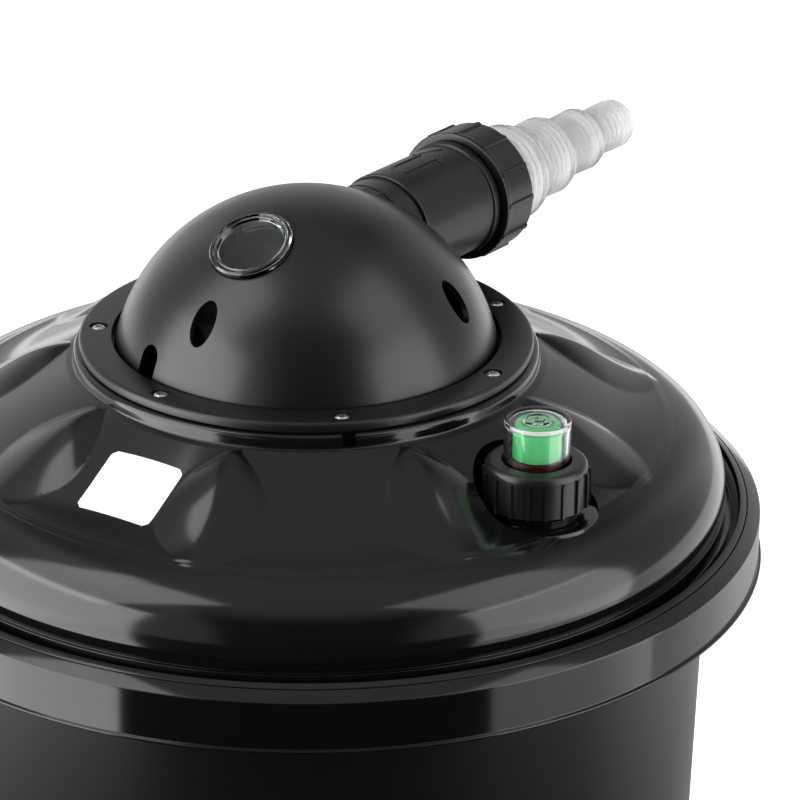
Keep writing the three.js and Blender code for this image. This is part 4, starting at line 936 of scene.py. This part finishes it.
def make_floor():
    """Pale floor that keeps the shadow; a gloss sees it dim in front, as the room is."""
    material, tree, surface = shader("floor_pale", Roughness=0.9, Specular_IOR_Level=0.0)
    tone, _ = noise_between(tree, 3, 0, 1, 2)
    tint(tree, surface, tone, (0.8, 0.8, 0.8), (0.82, 0.82, 0.82))
    shown, mirror = background_rays(tree)
    glow = tree.nodes.new("ShaderNodeEmission")
    tree.links.new(math_node(tree, "MULTIPLY", shown, FLOOR_GLOW), glow.inputs["Strength"])
    both = tree.nodes.new("ShaderNodeAddShader")
    tree.links.new(surface.outputs[0], both.inputs[0])
    tree.links.new(glow.outputs[0], both.inputs[1])
    place = tree.nodes.new("ShaderNodeNewGeometry")
    parts = tree.nodes.new("ShaderNodeSeparateXYZ")
    tree.links.new(place.outputs["Position"], parts.inputs[0])
    seen = tree.nodes.new("ShaderNodeEmission")
    ahead = math_node(tree, "MULTIPLY", math_node(tree, "MINIMUM", parts.outputs["Y"], 0.0), FLOOR_SLANT)
    across = math_node(tree, "ADD", math_node(tree, "ABSOLUTE", parts.outputs["X"], 0.0), ahead)
    side = ramp(tree, across, *FLOOR_FLANKS, 0.0, FLOOR_SIDE)
    behind = ramp(tree, parts.outputs["Y"], *FLOOR_DEPTH, FLOOR_FRONT, ROOM_TOP)
    tree.links.new(math_node(tree, "ADD", side, behind), seen.inputs["Strength"])
    mix = tree.nodes.new("ShaderNodeMixShader")
    tree.links.new(mirror, mix.inputs["Fac"])
    tree.links.new(both.outputs[0], mix.inputs[1])
    tree.links.new(seen.outputs[0], mix.inputs[2])
    tree.links.new(mix.outputs[0], tree.nodes["Material Output"].inputs["Surface"])
    mesh = bpy.data.meshes.new("floor")
    corners = ((-1, -1), (1, -1), (1, 1), (-1, 1))
    mesh.from_pydata([(x * FLOOR_SIZE, y * FLOOR_SIZE, FLOOR_Z) for x, y in corners], [], [(0, 1, 2, 3)])
    floor = bpy.data.objects.new("floor", mesh)
    mesh.materials.append(material)
    bpy.context.scene.collection.objects.link(floor)


def softbox(name, azimuth, distance, middle, width, height, brightness, aim):
    """A lamp that stands azimuth degrees round from +Y and shows at that brightness."""
    turn = math.radians(azimuth)
    place = Vector((math.sin(turn) * distance, math.cos(turn) * distance, middle))
    data = bpy.data.lights.new(name, "AREA")
    data.shape, data.size, data.size_y = "RECTANGLE", width, height
    data.energy = LAMP_WATTS * width * height * brightness
    lamp = bpy.data.objects.new(name, data)
    lamp.location = place
    lamp.rotation_mode = "QUATERNION"
    aim = Vector((0, 0, middle if aim is None else aim))
    lamp.rotation_quaternion = (aim - place).to_track_quat("-Z", "Y")
    lamp.visible_camera = False
    bpy.context.scene.collection.objects.link(lamp)


def make_lights():
    for row in SOFTBOXES:
        softbox(*row)


def make_camera():
    yaw, pitch, roll = map(math.radians, (CAMERA_YAW, CAMERA_PITCH, CAMERA_ROLL))
    forward = Vector((math.sin(yaw) * math.cos(pitch), math.cos(yaw) * math.cos(pitch), -math.sin(pitch)))
    right = forward.cross(Vector((0, 0, 1))).normalized()
    up = right.cross(forward)
    right, up = right * math.cos(roll) + up * math.sin(roll), up * math.cos(roll) - right * math.sin(roll)
    data = bpy.data.cameras.new("photo_camera")
    data.sensor_width, data.lens = 36.0, CAMERA_LENS
    camera = bpy.data.objects.new("photo_camera", data)
    camera.matrix_world = Matrix((
        (right.x, up.x, -forward.x, CAMERA_PLACE.x), (right.y, up.y, -forward.y, CAMERA_PLACE.y),
        (right.z, up.z, -forward.z, CAMERA_PLACE.z), (0, 0, 0, 1)))
    bpy.context.scene.collection.objects.link(camera)
    bpy.context.scene.camera = camera


make_camera()
make_world()
make_floor()
make_lights()
make_drum()
make_locking_ring()
make_lid()
make_label()
make_clamp()
make_dome()
make_sight_glass()
make_pipe()
make_union("outlet", "outlet_nut", "uv_head", PORT_AZ, RIM_Z + OUTLET_Z, PIPE_END)
make_union("inlet", "inlet_nut", "drum", PORT_AZ, INLET_Z, INLET_FACE)
make_gauge()
make_spring()

bpy.context.scene.view_settings.view_transform = "Standard"
